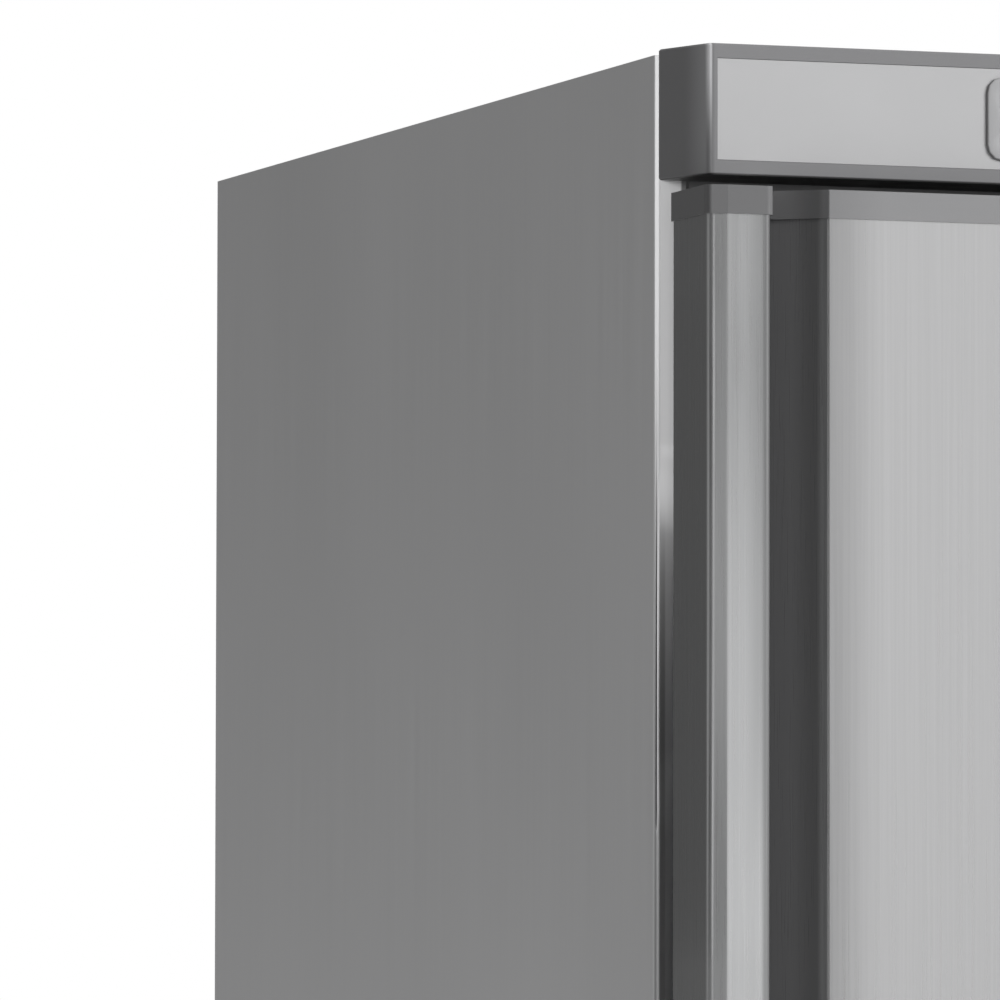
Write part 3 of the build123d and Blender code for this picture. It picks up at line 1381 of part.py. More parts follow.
def parts():
    """Every node's name and its solid or solids."""
    made = {
        "side_panel_left": side_panel(),
        "side_panel_right": side_panel_right(),
        "top_panel": top_panel(),
        "front_rails": front_rails(),
        "rear_panel": rear_panel(),
        "machine_bay_panel": bay_panel(),
        "base_pan": base_pan(),
        "roller_brackets": roller_brackets(),
        "inner_liner": inner_liner(),
        "cabinet_foam": foam(),
        "rear_bumpers": rear_bumpers(),
        "fascia_frame": fascia_frame(),
        "fascia_insert": fascia_insert(),
        "controller_housing": controller_housing(),
        "controller_display": controller_display(),
        "door_switch": door_switch(),
        "base_grille": base_grille(),
        "screws": hinge_screws() + grille_screws() + compressor_screws(),
        "hinge_bracket_top": hinge_bracket(True),
        "hinge_bracket_bottom": hinge_bracket(False),
        "hinge_pins": [hinge_pin(True), hinge_pin(False)],
        "hinge_bushes": [hinge_bush(True), hinge_bush(False)],
        "handle_profile": handle_profile(),
        "door_skin": door_skin(),
        "door_cap_top": door_cap("top"),
        "door_cap_bottom": door_cap("bottom"),
        "door_inner_panel": door_inner_panel(),
        "door_foam": door_foam(),
        "door_magnet": door_magnet(),
        "door_gasket": door_gasket(),
        "lamp_base": lamp_base(),
        "lamp_cover": lamp_cover(),
        "fan_housing": fan_housing(),
        "fan_motor": fan_motor(),
        "fan_rotor": fan_rotor(),
        "evaporator_plate": evaporator_plate(),
        "drip_gutter": drip_gutter(),
        "drain_tube": drain_tube(),
        "temperature_probe": temperature_probe(),
        "compressor": compressor(),
        "compressor_grommets": compressor_grommets(),
        "relay_box": relay_box(),
        "evaporation_tray": evaporation_tray(),
        "condenser_tube": condenser_tube(),
        "condenser_wires": condenser_wires(),
        "filter_drier": filter_drier(),
        "refrigerant_lines": refrigerant_lines(),
        "power_inlet": power_inlet(),
    }
    for name, (x, z) in button_places().items():
        made[name] = control_button(x, z)
    for side, (x, y) in zip(("left", "right"), foot_places()):
        made[f"foot_{side}"] = foot(x, y)
    for side, (x, y) in zip(("left", "right"), roller_places()):
        made[f"roller_{side}"] = roller(x, y)
    for i in range(SHELF_COUNT):
        made[f"shelf_{i + 1}"] = shelf(SHELF_FIRST + i * SHELF_PITCH)
    return made


def write(name, made):
    solids = []
    for piece in made if isinstance(made, list) else [made]:
        solids += piece.solids()
    whole = solids[0] if len(solids) == 1 else Compound(children=solids)
    export_step(whole, f"parts/{name}.step")


os.makedirs("parts", exist_ok=True)
for node, made in parts().items():
    write(node, made)
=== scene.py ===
import json
from math import cos, pi, radians, sin, sqrt, tan

import bmesh
import bpy
from mathutils import Matrix, Vector

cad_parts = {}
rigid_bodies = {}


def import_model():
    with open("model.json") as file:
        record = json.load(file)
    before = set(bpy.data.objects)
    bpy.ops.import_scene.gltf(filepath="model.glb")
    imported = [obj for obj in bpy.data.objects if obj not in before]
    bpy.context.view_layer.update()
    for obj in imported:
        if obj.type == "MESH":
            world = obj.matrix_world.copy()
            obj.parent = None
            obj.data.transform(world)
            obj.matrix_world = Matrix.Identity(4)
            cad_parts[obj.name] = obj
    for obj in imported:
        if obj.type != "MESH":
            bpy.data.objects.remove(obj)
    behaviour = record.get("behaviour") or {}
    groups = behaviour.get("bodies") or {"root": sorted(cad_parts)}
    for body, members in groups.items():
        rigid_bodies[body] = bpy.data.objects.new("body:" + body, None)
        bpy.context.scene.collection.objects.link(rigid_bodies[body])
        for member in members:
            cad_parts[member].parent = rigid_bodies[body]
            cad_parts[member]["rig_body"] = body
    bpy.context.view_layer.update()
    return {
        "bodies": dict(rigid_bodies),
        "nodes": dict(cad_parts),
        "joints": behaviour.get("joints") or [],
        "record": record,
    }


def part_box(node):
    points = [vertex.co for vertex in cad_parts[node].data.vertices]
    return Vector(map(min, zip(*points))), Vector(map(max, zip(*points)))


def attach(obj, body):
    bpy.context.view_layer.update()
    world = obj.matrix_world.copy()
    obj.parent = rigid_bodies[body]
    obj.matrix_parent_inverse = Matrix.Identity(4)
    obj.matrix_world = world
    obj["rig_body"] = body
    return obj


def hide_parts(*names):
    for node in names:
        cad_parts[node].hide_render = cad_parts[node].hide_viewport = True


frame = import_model()
nodes = frame["nodes"]
MM = 0.001


# Places that the tones follow. A span is the start and end of a soft step.

profile_box, side_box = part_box("handle_profile"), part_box("side_panel_right")
PULL_X, SKIN_X, SIDE_X = profile_box[0].x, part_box("door_skin")[0].x, side_box[1].x
LIP_UNDER_Y, FLANGE_Y = profile_box[0].y + 4.5 * MM, side_box[0].y
FASCIA_Z, CORNER_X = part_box("fascia_frame")[0].z, 288.6 * MM

# Spans across the door, in millimetres from the pull's left side, that bound the painted reflection bands on
# its lip and the painted shade on its side and in its groove
LIP_SIDE, SHOULDER, RIGHT_HALF, NOSE = (-0.6, 0.8), (8.2, 6.2), (15, 20), (20.5, 22.5)
GROOVE_START, GROOVE_FAR, GROOVE_END = (4, 6), (31, 46), (48.5, 46.5)

# Spans across the door, in millimetres from the left edge of its sheet
LIP_END, RIGHT_END, SKIN_START, SKIN_EDGE, CAP_LIP = (-20.5, -22.5), (-1, -3), (-1, 0), (-0.6, -0.4), (0, -2)

# Spans from front to back, in millimetres from the lip's underside and from the cabinet's flange
LIP_FRONT, GROOVE_BACK = (0, -1.2), (0, 1)
FOLD_BACK, FRONT_FACE = (1.6, 0.8), (0.6, 0.3)

# Spans of height, in metres from the floor and in millimetres from the fascia's lower edge
LEAN_Z, LIP_HIGH_Z = (1.50, 1.76), (1.52, 1.62)
FOLD_Z, FLAT_Z, STRIP_LOW_Z, FLANGE_LEAN_Z = (1.50, 1.79), (1.48, 1.78), (1.68, 1.62), (1.55, 1.70)
# The gap and underside spans bound painted shade, and the highlight rise how the fascia corner's painted
# highlight brightens upwards.
GAP_RISE, GAP_FALL, UNDERSIDE, HIGHLIGHT_RISE = (-8, -7), (20, 0), (0.6, 0.2), (8, 46)

# Widths on the cabinet's front, inwards from its side, some bounding painted light and painted shade, and
# spans about the fascia's front corner for its painted highlight and lighter skirt
FOLD_W, FOLD_SOFT, LIGHT_FROM, GAP_FROM, STRIP_W = 1.2 * MM, 0.8 * MM, 4.5 * MM, 11 * MM, 12.5 * MM
HIGHLIGHT_SPAN, SKIRT_RISE, SKIRT_FALL = (1.2, 0.4), (-0.2, 0.4), (5.5, 0.4)

# Leans in degrees, the width of the sheet's rolled edge, and the painted shade in the groove: its grey, and
# how much darker it turns towards the front sheet
LIP_LEAN, SKIN_ROLL, FLANGE_LEAN = 6.5, 9.0, 25.0
SKIN_ROLL_W = 22 * MM
GROOVE_SHADE, GROOVE_FAR_SHADE = (0.155, 0.155, 0.158), 0.42


# Node helpers

def heading(turn, rise):
    """Direction as seen from the object: turn is from the front towards its left side, in degrees."""
    turn, rise = radians(turn), radians(rise)
    return Vector((-sin(turn) * cos(rise), -cos(turn) * cos(rise), sin(rise)))


def shade(colour, factor):
    return tuple(c * factor for c in colour)


def beside(origin, span):
    """A span given in millimetres from an origin, in metres."""
    return origin + span[0] * MM, origin + span[1] * MM


def tree_of(owner):
    owner.use_nodes = True
    return owner.node_tree


class Tree:
    """The nodes of one material, world or group."""

    def __init__(self, tree, output):
        self.tree = tree
        tree.nodes.clear()
        self.out = self.new(output)

    def show(self, output):
        """Ends the tree at this output."""
        self.fill(self.out.inputs[0], output)

    def fill(self, socket, value):
        """Links an output to a socket, or sets the socket to a plain value."""
        if isinstance(value, bpy.types.NodeSocket):
            self.tree.links.new(value, socket)
        else:
            socket.default_value = (*value, 1) if socket.type == "RGBA" else value

    def new(self, kind, inputs=None, **attributes):
        """A node with these attributes, and with its inputs filled by name or number."""
        node = self.tree.nodes.new(kind)
        for key, value in attributes.items():
            setattr(node, key, value)
        for key, value in (inputs or {}).items():
            self.fill(node.inputs[key], value)
        return node

    def maths(self, operation, a, b=0.0):
        return self.new("ShaderNodeMath", {0: a, 1: b}, operation=operation).outputs[0]

    def product(self, *factors):
        result = factors[0]
        for factor in factors[1:]:
            result = self.maths("MULTIPLY", result, factor)
        return result

    def blend(self, a, share, b):
        """Share of a and the rest of b."""
        return self.maths("ADD", self.product(a, share), self.product(b, 1 - share))

    def to_range(self, source, low, high, start=0.3, end=0.7, kind="LINEAR"):
        ends = {"Value": source, "From Min": start, "From Max": end, "To Min": low, "To Max": high}
        return self.new("ShaderNodeMapRange", ends, interpolation_type=kind).outputs[0]

    def step(self, source, start, end, low=0.0, high=1.0):
        """A soft step from low at start to high at end."""
        return self.to_range(source, low, high, start, end, "SMOOTHSTEP")

    def mix(self, factor, a, b, kind="RGBA"):
        """A colour, number or vector from a to b by factor."""
        node = self.new("ShaderNodeMix", {"Factor": factor}, data_type=kind)
        wanted = "VALUE" if kind == "FLOAT" else kind
        for name, value in (("A", a), ("B", b)):
            self.fill([s for s in node.inputs if s.name == name and s.type == wanted][0], value)
        return [s for s in node.outputs if s.type == wanted][0]


class Shader(Tree):
    """One procedural material, built from a Principled shader and textures in object space, in metres."""

    def __init__(self, name, **sockets):
        materials[name] = bpy.data.materials.new(name)
        super().__init__(tree_of(materials[name]), "ShaderNodeOutputMaterial")
        plain = {key.replace("_", " "): value for key, value in sockets.items()}
        self.bsdf = self.new("ShaderNodeBsdfPrincipled", plain)
        self.show(self.bsdf.outputs[0])
        self.coord = self.new("ShaderNodeTexCoord").outputs

    def feed(self, source, name):
        self.fill(self.bsdf.inputs[name], source)

    def colour(self, source):
        self.feed(source, "Base Color")

    def gloss(self, source, rough, less, more, *span):
        """Roughness that the source moves from less under to more over its plain value."""
        self.feed(self.to_range(source, rough - less, rough + more, *span), "Roughness")

    def tone(self, source, colour, low, high, *span):
        """The colour, low to high times as bright as the source goes over its middle range."""
        return self.mix(self.to_range(source, 0, 1, *span), shade(colour, low), shade(colour, high))

    def space(self, scale=(1, 1, 1)):
        """Object coordinates, stretched."""
        ends = {"Vector": self.coord["Object"], "Scale": scale}
        return self.new("ShaderNodeMapping", ends).outputs[0]

    def noise(self, scale, stretch=(1, 1, 1), detail=2, rough=0.55):
        ends = {"Scale": scale, "Detail": detail, "Roughness": rough, "Vector": self.space(stretch)}
        return self.new("ShaderNodeTexNoise", ends).outputs["Fac"]

    def cells(self, scale, output="Distance"):
        return self.new("ShaderNodeTexVoronoi", {"Scale": scale, "Vector": self.space()}).outputs[output]

    def bump(self, height, strength, depth, below=None):
        """Raises the surface by height times depth metres, over an earlier bump."""
        ends = {"Strength": strength, "Distance": depth, "Height": height}
        if below is not None:
            ends["Normal"] = below
        relief = self.new("ShaderNodeBump", ends).outputs[0]
        self.feed(relief, "Normal")
        return relief

    def place(self, axis, of="Object"):
        """One object coordinate in metres, or one part of the normal."""
        return self.new("ShaderNodeSeparateXYZ", {0: self.coord[of]}).outputs[axis]

    def up(self):
        """1 where the surface faces up."""
        return self.place("Z", "Normal")

    def across(self):
        """Distance from the object's middle plane."""
        return self.maths("ABSOLUTE", self.place("X"))

    def band(self, low, high, edge):
        """1 where the distance from the middle plane lies between low and high."""
        side = self.across()
        return self.product(self.step(side, low - edge, low), self.step(side, high + edge, high))

    def lean(self, below=None):
        """The door's front is not quite flat: the lip leans to its left near its top, and the sheet's edge
        rolls in over its first two centimetres."""
        x = self.place("X")
        on_lip = self.step(x, *beside(SKIN_X, LIP_END))
        near_top = self.step(self.place("Z"), *LEAN_Z)
        lip = self.product(x, tan(radians(LIP_LEAN)), self.product(on_lip, near_top))
        inward = self.maths("MAXIMUM", self.maths("SUBTRACT", SKIN_X + SKIN_ROLL_W, x), 0.0)
        rolled = self.product(inward, inward, -0.5 * tan(radians(SKIN_ROLL)) / SKIN_ROLL_W)
        on_skin = self.step(x, *beside(SKIN_X, SKIN_EDGE))
        return self.bump(self.maths("ADD", lip, self.product(rolled, on_skin)), 1.0, 1.0, below)

    def door_front(self, bright, dark, metallic):
        """Bright on the front of the door's lip and of its sheet, painted shade on its side, and painted
        shade in the groove as a dull grey, darker towards the front sheet. Metallic goes from the first value
        to the second there."""
        x, y = self.place("X"), self.place("Y")
        start, far, end = (self.step(x, *beside(PULL_X, s)) for s in (GROOVE_START, GROOVE_FAR, GROOVE_END))
        in_groove = self.product(start, self.step(y, *beside(LIP_UNDER_Y, GROOVE_BACK)), end)
        # Painted shade in the groove: a dull grey that darkens towards the front sheet.
        dark = self.mix(in_groove, dark, self.mix(far, GROOVE_SHADE, shade(GROOVE_SHADE, GROOVE_FAR_SHADE)))
        self.feed(self.step(in_groove, 0.0, 1.0, *metallic), "Metallic")
        front = self.step(y, *beside(LIP_UNDER_Y, LIP_FRONT))
        front = self.maths("MAXIMUM", front, self.step(x, *beside(SKIN_X, SKIN_START)))
        return self.mix(self.product(self.step(x, *beside(PULL_X, LIP_SIDE)), front), dark, bright)

    def on_fold(self):
        """1 on the rounded fold between a side panel and its front return."""
        outer = self.band(SIDE_X - FOLD_W, SIDE_X, FOLD_SOFT)
        return self.product(outer, self.step(self.place("Y"), *beside(FLANGE_Y, FOLD_BACK)))

    def folded(self, base, colour):
        """The fold carries a painted highlight, bright near its top and dimmer lower down, the return behind
        the seal leans to the outside there and carries painted light low down, and the gap under the fascia
        gets painted shade."""
        z = self.place("Z")
        # Painted highlight along the fold: bright near its top, dimmer lower down.
        fold_highlight = self.mix(self.step(z, *FOLD_Z), shade(colour, 0.62), shade(colour, 1.6))
        base = self.mix(self.on_fold(), base, fold_highlight)
        front = self.step(self.place("Y"), *beside(FLANGE_Y, FRONT_FACE))
        strip = self.product(front, self.band(SIDE_X - STRIP_W, SIDE_X, MM))
        # Painted light on the return behind the seal, lower down, away from the fold.
        inner = self.band(0, SIDE_X - LIGHT_FROM, FOLD_SOFT)
        base = self.mix(self.product(strip, self.step(z, *STRIP_LOW_Z), inner), base, shade(colour, 1.65))
        # Painted shade in the gap under the fascia, on the cabinet's front.
        gap = self.product(*(self.step(z, *beside(FASCIA_Z, span)) for span in (GAP_RISE, GAP_FALL)))
        in_gap = self.product(gap, front, self.band(0, SIDE_X - GAP_FROM, MM))
        base = self.mix(in_gap, base, shade(colour, 0.3))
        slope = self.product(self.place("X"), tan(radians(FLANGE_LEAN)))
        near_top = self.product(strip, self.step(z, *FLANGE_LEAN_Z))
        return base, self.bump(self.product(slope, near_top), 1.0, 1.0)

    def face_light(self, relief):
        """Turns the top of the fold's normal towards one direction, as a flat polished on it would."""
        amount = self.product(self.on_fold(), self.step(self.place("Z"), *FLAT_Z))
        self.feed(self.mix(amount, relief, heading(FLANGE_LEAN, 0), "VECTOR"), "Normal")


# Materials

materials = {}
ALONG_Z = (1, 1, 0.006)
ALONG_X = (0.006, 1, 1)


def brushed(name, colour, rough, grain=900, stretch=ALONG_Z, streak=0.05, shape=None):
    """Sheet ground in one direction: fine lines in gloss and relief, and broad faint clouds in tone."""
    s = Shader(name, Metallic=1.0)
    lines = s.noise(grain, stretch, detail=4, rough=0.7)
    tone = s.blend(lines, 0.5, s.noise(2.2, (1, 1, 0.5)))
    span = (0.35, 0.65)
    base, below = s.tone(tone, colour, 1 - streak, 1 + streak, *span), None
    if shape == "door":
        below = s.lean()
    if shape == "cabinet":
        base, below = s.folded(base, colour)
    s.colour(base)
    s.gloss(tone, rough, 0.05, 0.05, *span)
    relief = s.bump(lines, 0.25, 0.00006, below)
    if shape == "cabinet":
        s.face_light(relief)


def extruded(name, colour, rough):
    """Anodised extrusion: die lines along its length, with painted reflection bands on its lip's front,
    painted shade on the lip's right half near its top, and painted shade on its side and in its groove.
    """
    s = Shader(name, Metallic=1.0)
    lines = s.noise(700, (1, 1, 0.0015), detail=3, rough=0.6)
    fine = s.noise(2600, (1, 1, 0.01))
    x = s.place("X")
    shoulder, nose, right_half = (s.step(x, *beside(PULL_X, span)) for span in (SHOULDER, NOSE, RIGHT_HALF))
    before_end = s.step(x, *beside(SKIN_X, RIGHT_END))
    high_up = s.product(s.step(s.place("Z"), *LIP_HIGH_Z), 0.3)
    # Painted reflection bands: the lip's front is darker over its left shoulder and towards its nose, and its
    # right half gets painted shade near the top.
    bright = s.mix(shoulder, s.tone(lines, colour, 0.95, 1.05), shade(colour, 0.66))
    bright = s.mix(s.product(nose, before_end), bright, shade(colour, 0.6))
    bright = s.mix(s.product(right_half, before_end, high_up), bright, shade(colour, 0.5))
    # Painted shade on the extrusion's side, at about a third of its tone.
    s.colour(s.door_front(bright, s.tone(lines, colour, 0.29, 0.33), (1.0, 0.1)))
    s.gloss(fine, rough, 0.04, 0.05)
    s.bump(fine, 0.15, 0.00004, s.bump(lines, 0.2, 0.00008, s.lean()))


def lacquered(name, colour, rough):
    """Plastic with a metallic lacquer, with painted shade on the door's side, in the groove, over the lip and
    on its top faces.
    """
    s = Shader(name, Metallic=0.5)
    flakes = s.noise(3200)
    clouds = s.noise(14, detail=3)
    tone = s.blend(clouds, 0.5, flakes)
    on_lip = s.step(s.place("X"), *beside(SKIN_X, CAP_LIP))
    # Painted shade: the cap is darker over the lip than over the sheet.
    bright = s.mix(on_lip, s.tone(tone, colour, 0.96, 1.04), shade(colour, 0.68))
    # Painted shade on the cap's side and in the groove.
    base = s.door_front(bright, s.tone(tone, colour, 0.42, 0.46), (0.5, 0.0))
    # Painted shade on the cap's up-facing faces, in the gap under the fascia.
    s.colour(s.mix(s.step(s.up(), 0.6, 0.95), base, shade(colour, 0.2)))
    s.gloss(clouds, rough, 0.03, 0.05)
    s.bump(flakes, 0.2, 0.00004, s.lean())


def galvanised(name, colour):
    """Zinc-coated sheet: crystals of different tone and gloss."""
    s = Shader(name, Metallic=0.9)
    crystal = s.new("ShaderNodeSeparateColor", {0: s.cells(130, "Color")}).outputs
    tone = s.blend(crystal[0], 0.7, s.noise(9, detail=4))
    s.colour(s.mix(tone, shade(colour, 0.9), shade(colour, 1.08)))
    s.feed(s.to_range(crystal[1], 0.36, 0.52, 0, 1), "Roughness")
    s.bump(s.noise(420), 0.12, 0.00012)


def plated(name, colour, rough=0.28):
    """Zinc-plated fittings: soft gloss, with faint clouds and rubbed spots."""
    s = Shader(name, Metallic=1.0)
    warm = (colour[0] * 1.04, colour[1] * 1.03, colour[2] * 0.99)
    s.colour(s.mix(s.to_range(s.noise(60, detail=5), 0, 1), shade(colour, 0.88), warm))
    s.gloss(s.noise(240, detail=3), rough, 0.06, 0.12)
    s.bump(s.noise(1500), 0.1, 0.00005)


def painted(name, colour, rough, peel=700, dust=0.0, metallic=0.0, depth=0.00012):
    """Baked paint: orange peel, slight tone changes, and dust on what faces up."""
    s = Shader(name, Metallic=metallic)
    base = s.tone(s.noise(14, detail=4), colour, 0.88, 1.12)
    if dust:
        fall = s.product(s.to_range(s.up(), 0, dust, 0.2, 1), s.to_range(s.noise(90, detail=5), 0.3, 1))
        base = s.mix(fall, base, (0.34, 0.32, 0.29))
    s.colour(base)
    s.gloss(s.noise(120, detail=3), rough, 0.05, 0.08)
    s.bump(s.noise(peel), 0.2, depth)


def moulded(name, colour, rough, shape=None):
    """Injection-moulded plastic: a fine spark-eroded grain, and slow changes of tone where it has been
    handled. On the fascia each front corner carries a painted highlight line with a painted lighter skirt on
    the side before it, and its underside gets painted shade."""
    s = Shader(name, Specular_IOR_Level=0.5)
    specks = s.noise(2400)
    base = s.tone(s.blend(s.noise(11, detail=4), 0.7, specks), colour, 0.96, 1.04)
    if shape == "fascia":
        across, z = s.across(), s.place("Z")
        off_corner = s.maths("ABSOLUTE", s.maths("SUBTRACT", across, CORNER_X))
        # Painted highlight: a thin lighter line along each front corner, brighter towards the top.
        corner_highlight = s.mix(s.step(z, *beside(FASCIA_Z, HIGHLIGHT_RISE)), shade(colour, 1.5), shade(colour, 4.6))
        # Painted highlight skirt: the side is lighter over its last few millimetres before the corner.
        skirt = s.product(*(s.step(across, *beside(CORNER_X, span)) for span in (SKIRT_FALL, SKIRT_RISE)))
        base = s.mix(skirt, base, shade(colour, 1.9))
        base = s.mix(s.step(off_corner, *beside(0, HIGHLIGHT_SPAN)), base, corner_highlight)
        # Painted shade on the fascia's underside.
        base = s.mix(s.step(z, *beside(FASCIA_Z, UNDERSIDE)), base, shade(colour, 0.3))
    s.colour(base)
    s.gloss(s.noise(70, detail=4), rough, 0.04, 0.06)
    s.bump(specks, 0.3, 0.00005)


def thermoformed(name, colour, rough):
    """Vacuum-formed liner: glossy, with the faint waviness of drawn sheet."""
    s = Shader(name, Specular_IOR_Level=0.5)
    s.colour(s.tone(s.noise(3, detail=1), colour, 0.98, 1.01))
    s.gloss(s.noise(25, detail=3), rough, 0.05, 0.08)
    s.bump(s.noise(600), 0.1, 0.00003, s.bump(s.noise(5, detail=0), 0.1, 0.0004))


def foam(name, colour):
    """Rigid foam: cells in tone and relief."""
    s = Shader(name, Roughness=0.95, Specular_IOR_Level=0.2)
    s.colour(s.tone(s.noise(20, detail=5), colour, 0.8, 1))
    s.bump(s.cells(450), 0.8, 0.0008)


def rubber(name, colour, rough=0.62):
    """Rubber or soft vinyl: a dull skin with dusty bloom in its tone."""
    s = Shader(name, Specular_IOR_Level=0.4)
    bloom = s.noise(45, detail=5)
    s.colour(s.tone(bloom, colour, 0.85, 1.15))
    s.feed(s.to_range(bloom, rough + 0.1, rough - 0.06), "Roughness")
    s.bump(s.noise(1800, detail=3), 0.3, 0.00008)


def dark_glass(name, colour):
    """Smoked glass with faint smudges."""
    s = Shader(name, Roughness=0.08, Specular_IOR_Level=0.6, Coat_Weight=0.3)
    s.colour(s.tone(s.noise(55, detail=5), colour, 1, 1.6))
    s.bump(s.noise(300, detail=1), 0.03, 0.0001)


def diffuser(name, colour):
    """Opal lamp cover with prisms across it."""
    s = Shader(name, Transmission_Weight=0.35, IOR=1.49)
    wave = s.new("ShaderNodeTexWave", {"Scale": 160, "Vector": s.space()})
    s.colour(s.tone(s.noise(30), colour, 0.95, 1))
    s.feed(s.to_range(s.noise(200), 0.28, 0.4), "Roughness")
    s.bump(wave.outputs["Fac"], 0.4, 0.0006)


def copper(name, colour):
    """Copper tube: bright, with brown tarnish that gathers in clouds."""
    s = Shader(name, Metallic=1.0)
    tarnish = s.to_range(s.noise(35, detail=6, rough=0.65), 0, 1, 0.4, 0.65)
    s.colour(s.mix(tarnish, colour, (0.33, 0.15, 0.085)))
    s.feed(s.to_range(s.noise(90, detail=4), 0.22, 0.45), "Roughness")
    s.bump(s.noise(900), 0.15, 0.00006)


def lit(name, colour):
    """Light-emitting segments, a little uneven in strength."""
    s = Shader(name, Roughness=0.4, Emission_Strength=1.0)
    glow = s.tone(s.noise(400), colour, 0.8, 1)
    s.colour(glow)
    s.feed(glow, "Emission Color")


STEEL = (0.56, 0.56, 0.565)
brushed("cabinet_steel", STEEL, 0.34, shape="cabinet")
brushed("door_steel", STEEL, 0.3, streak=0.07, shape="door")
galvanised("galvanised_steel", (0.5, 0.51, 0.52))
painted("black_steel", (0.028, 0.028, 0.03), 0.38, dust=0.5)
plated("plated_steel", (0.68, 0.68, 0.67))
extruded("handle_aluminium", (0.56, 0.565, 0.57), 0.3)
lacquered("cap_plastic", (0.265, 0.265, 0.27), 0.4)
moulded("fascia_plastic", (0.168, 0.168, 0.172), 0.4, shape="fascia")
moulded("insert_plastic", (0.375, 0.375, 0.38), 0.35)
moulded("control_plastic", (0.3, 0.3, 0.305), 0.35)
moulded("key_plastic", (0.16, 0.16, 0.165), 0.5)
dark_glass("display_glass", (0.012, 0.012, 0.014))
moulded("grille_plastic", (0.055, 0.055, 0.058), 0.5)
thermoformed("liner_plastic", (0.82, 0.83, 0.83), 0.26)
foam("insulation", (0.78, 0.66, 0.42))
rubber("seal_rubber", (0.13, 0.132, 0.135))
moulded("dark_plastic", (0.03, 0.03, 0.032), 0.48)
moulded("grey_plastic", (0.4, 0.41, 0.42), 0.42)
painted("shelf_coat", (0.68, 0.69, 0.69), 0.3, peel=1500, depth=0.00003)
diffuser("lamp_diffuser", (0.88, 0.9, 0.92))
brushed("evaporator_aluminium", (0.72, 0.73, 0.74), 0.36, grain=500, stretch=ALONG_X)
copper("copper", (0.78, 0.42, 0.27))
moulded("roller_nylon", (0.05, 0.05, 0.05), 0.4)
painted("magnet_alloy", (0.1, 0.1, 0.1), 0.6, metallic=0.4)
rubber("grommet_rubber", (0.03, 0.03, 0.03))
lit("lit_digits", (0.85, 0.09, 0.04))


# CAD nodes

for row in frame["record"]["subparts"]:
    mesh = nodes[row["node"]].data
    mesh.materials.clear()
    mesh.materials.append(materials[row["material_slot"]])


def smooth_rounds():
    """Shades a mesh's gentle turns as one curve and keeps its hard edges."""
    group = bpy.data.node_groups.new("smooth_rounds", "GeometryNodeTree")
    for way in ("INPUT", "OUTPUT"):
        group.interface.new_socket("Geometry", in_out=way, socket_type="NodeSocketGeometry")
    t = Tree(group, "NodeGroupOutput")
    bare = {"Geometry": t.new("NodeGroupInput").outputs[0], "Name": "custom_normal"}
    smooth = {"Geometry": t.new("GeometryNodeRemoveAttribute", bare).outputs[0]}
    angle = t.new("GeometryNodeInputMeshEdgeAngle").outputs["Unsigned Angle"]
    hard = t.new("FunctionNodeCompare", {0: angle, 1: radians(HARD_EDGE)}, operation="GREATER_THAN")
    edges = {"Geometry": t.new("GeometryNodeSetShadeSmooth", smooth, domain="FACE").outputs[0]}
    edges.update({"Selection": hard.outputs[0], "Shade Smooth": False})
    t.show(t.new("GeometryNodeSetShadeSmooth", edges, domain="EDGE").outputs[0])
    return group


def soften(node, radius):
    """Welds a CAD node's facets, rounds its hard edges and smooths its curves."""
    ob = nodes[node]
    ob.modifiers.new("weld", "WELD").merge_threshold = 1e-5
    edge = ob.modifiers.new("edges", "BEVEL")
    edge.width, edge.segments = radius * MM, 2
    edge.limit_method, edge.angle_limit = "ANGLE", radians(HARD_EDGE)
    ob.modifiers.new("rounds", "NODES").node_group = ROUNDS


HARD_EDGE = 35
ROUNDS = smooth_rounds()
EDGE_RADII = {
    "controller_housing": 0.25, "relay_box": 1.5, "evaporation_tray": 0.6, "power_inlet": 0.6,
    "rear_bumpers": 0.6, "hinge_bracket_top": 0.4, "hinge_bracket_bottom": 0.4, "roller_brackets": 0.3,
    "lamp_base": 0.8, "lamp_cover": 0.6, "door_switch": 0.6, "temperature_probe": 0.6, "drip_gutter": 0.4,
    "door_inner_panel": 0.7, "door_cap_bottom": 0.4, "base_grille": 0.35, "inner_liner": 0.6,
}
for rounded_node, edge_radius in EDGE_RADII.items():
    soften(rounded_node, edge_radius)


# Forms

X, Y, Z = Vector((1, 0, 0)), Vector((0, 1, 0)), Vector((0, 0, 1))
UPRIGHT, FRONTAL, SIDEWAYS = (X, Y, Z), (X, Z, -Y), (Y, Z, X)
SIDES, CORNERS = (-1, 1), ((1, 1), (-1, 1), (-1, -1), (1, -1))


def mm(pairs):
    """Pairs given in millimetres, in metres."""
    return [(a * MM, b * MM) for a, b in pairs]


def rounded(width, height, radius, steps=4):
    """Corners of a rectangle with round corners, about its centre."""
    points = []
    for i, (side, level) in enumerate(CORNERS):
        for k in range(steps + 1):
            turn = pi / 2 * (i + k / steps)
            x = side * (width / 2 - radius) + radius * cos(turn)
            points.append((x, level * (height / 2 - radius) + radius * sin(turn)))
    return points


def squared(half, radius, sides):
    """A square with round corners, its points spread by angle so that they join a circle's."""
    points = []
    core = half - radius
    for i in range(sides):
        c, s = cos(2 * pi * i / sides), sin(2 * pi * i / sides)
        reach = half / max(abs(c), abs(s))
        if min(abs(c), abs(s)) * reach > core:
            along = core * (abs(c) + abs(s))
            reach = along + sqrt(along * along - 2 * core * core + radius * radius)
        points.append((c * reach, s * reach))
    return points


def circle(radius, sides):
    return [(radius * cos(2 * pi * i / sides), radius * sin(2 * pi * i / sides)) for i in range(sides)]


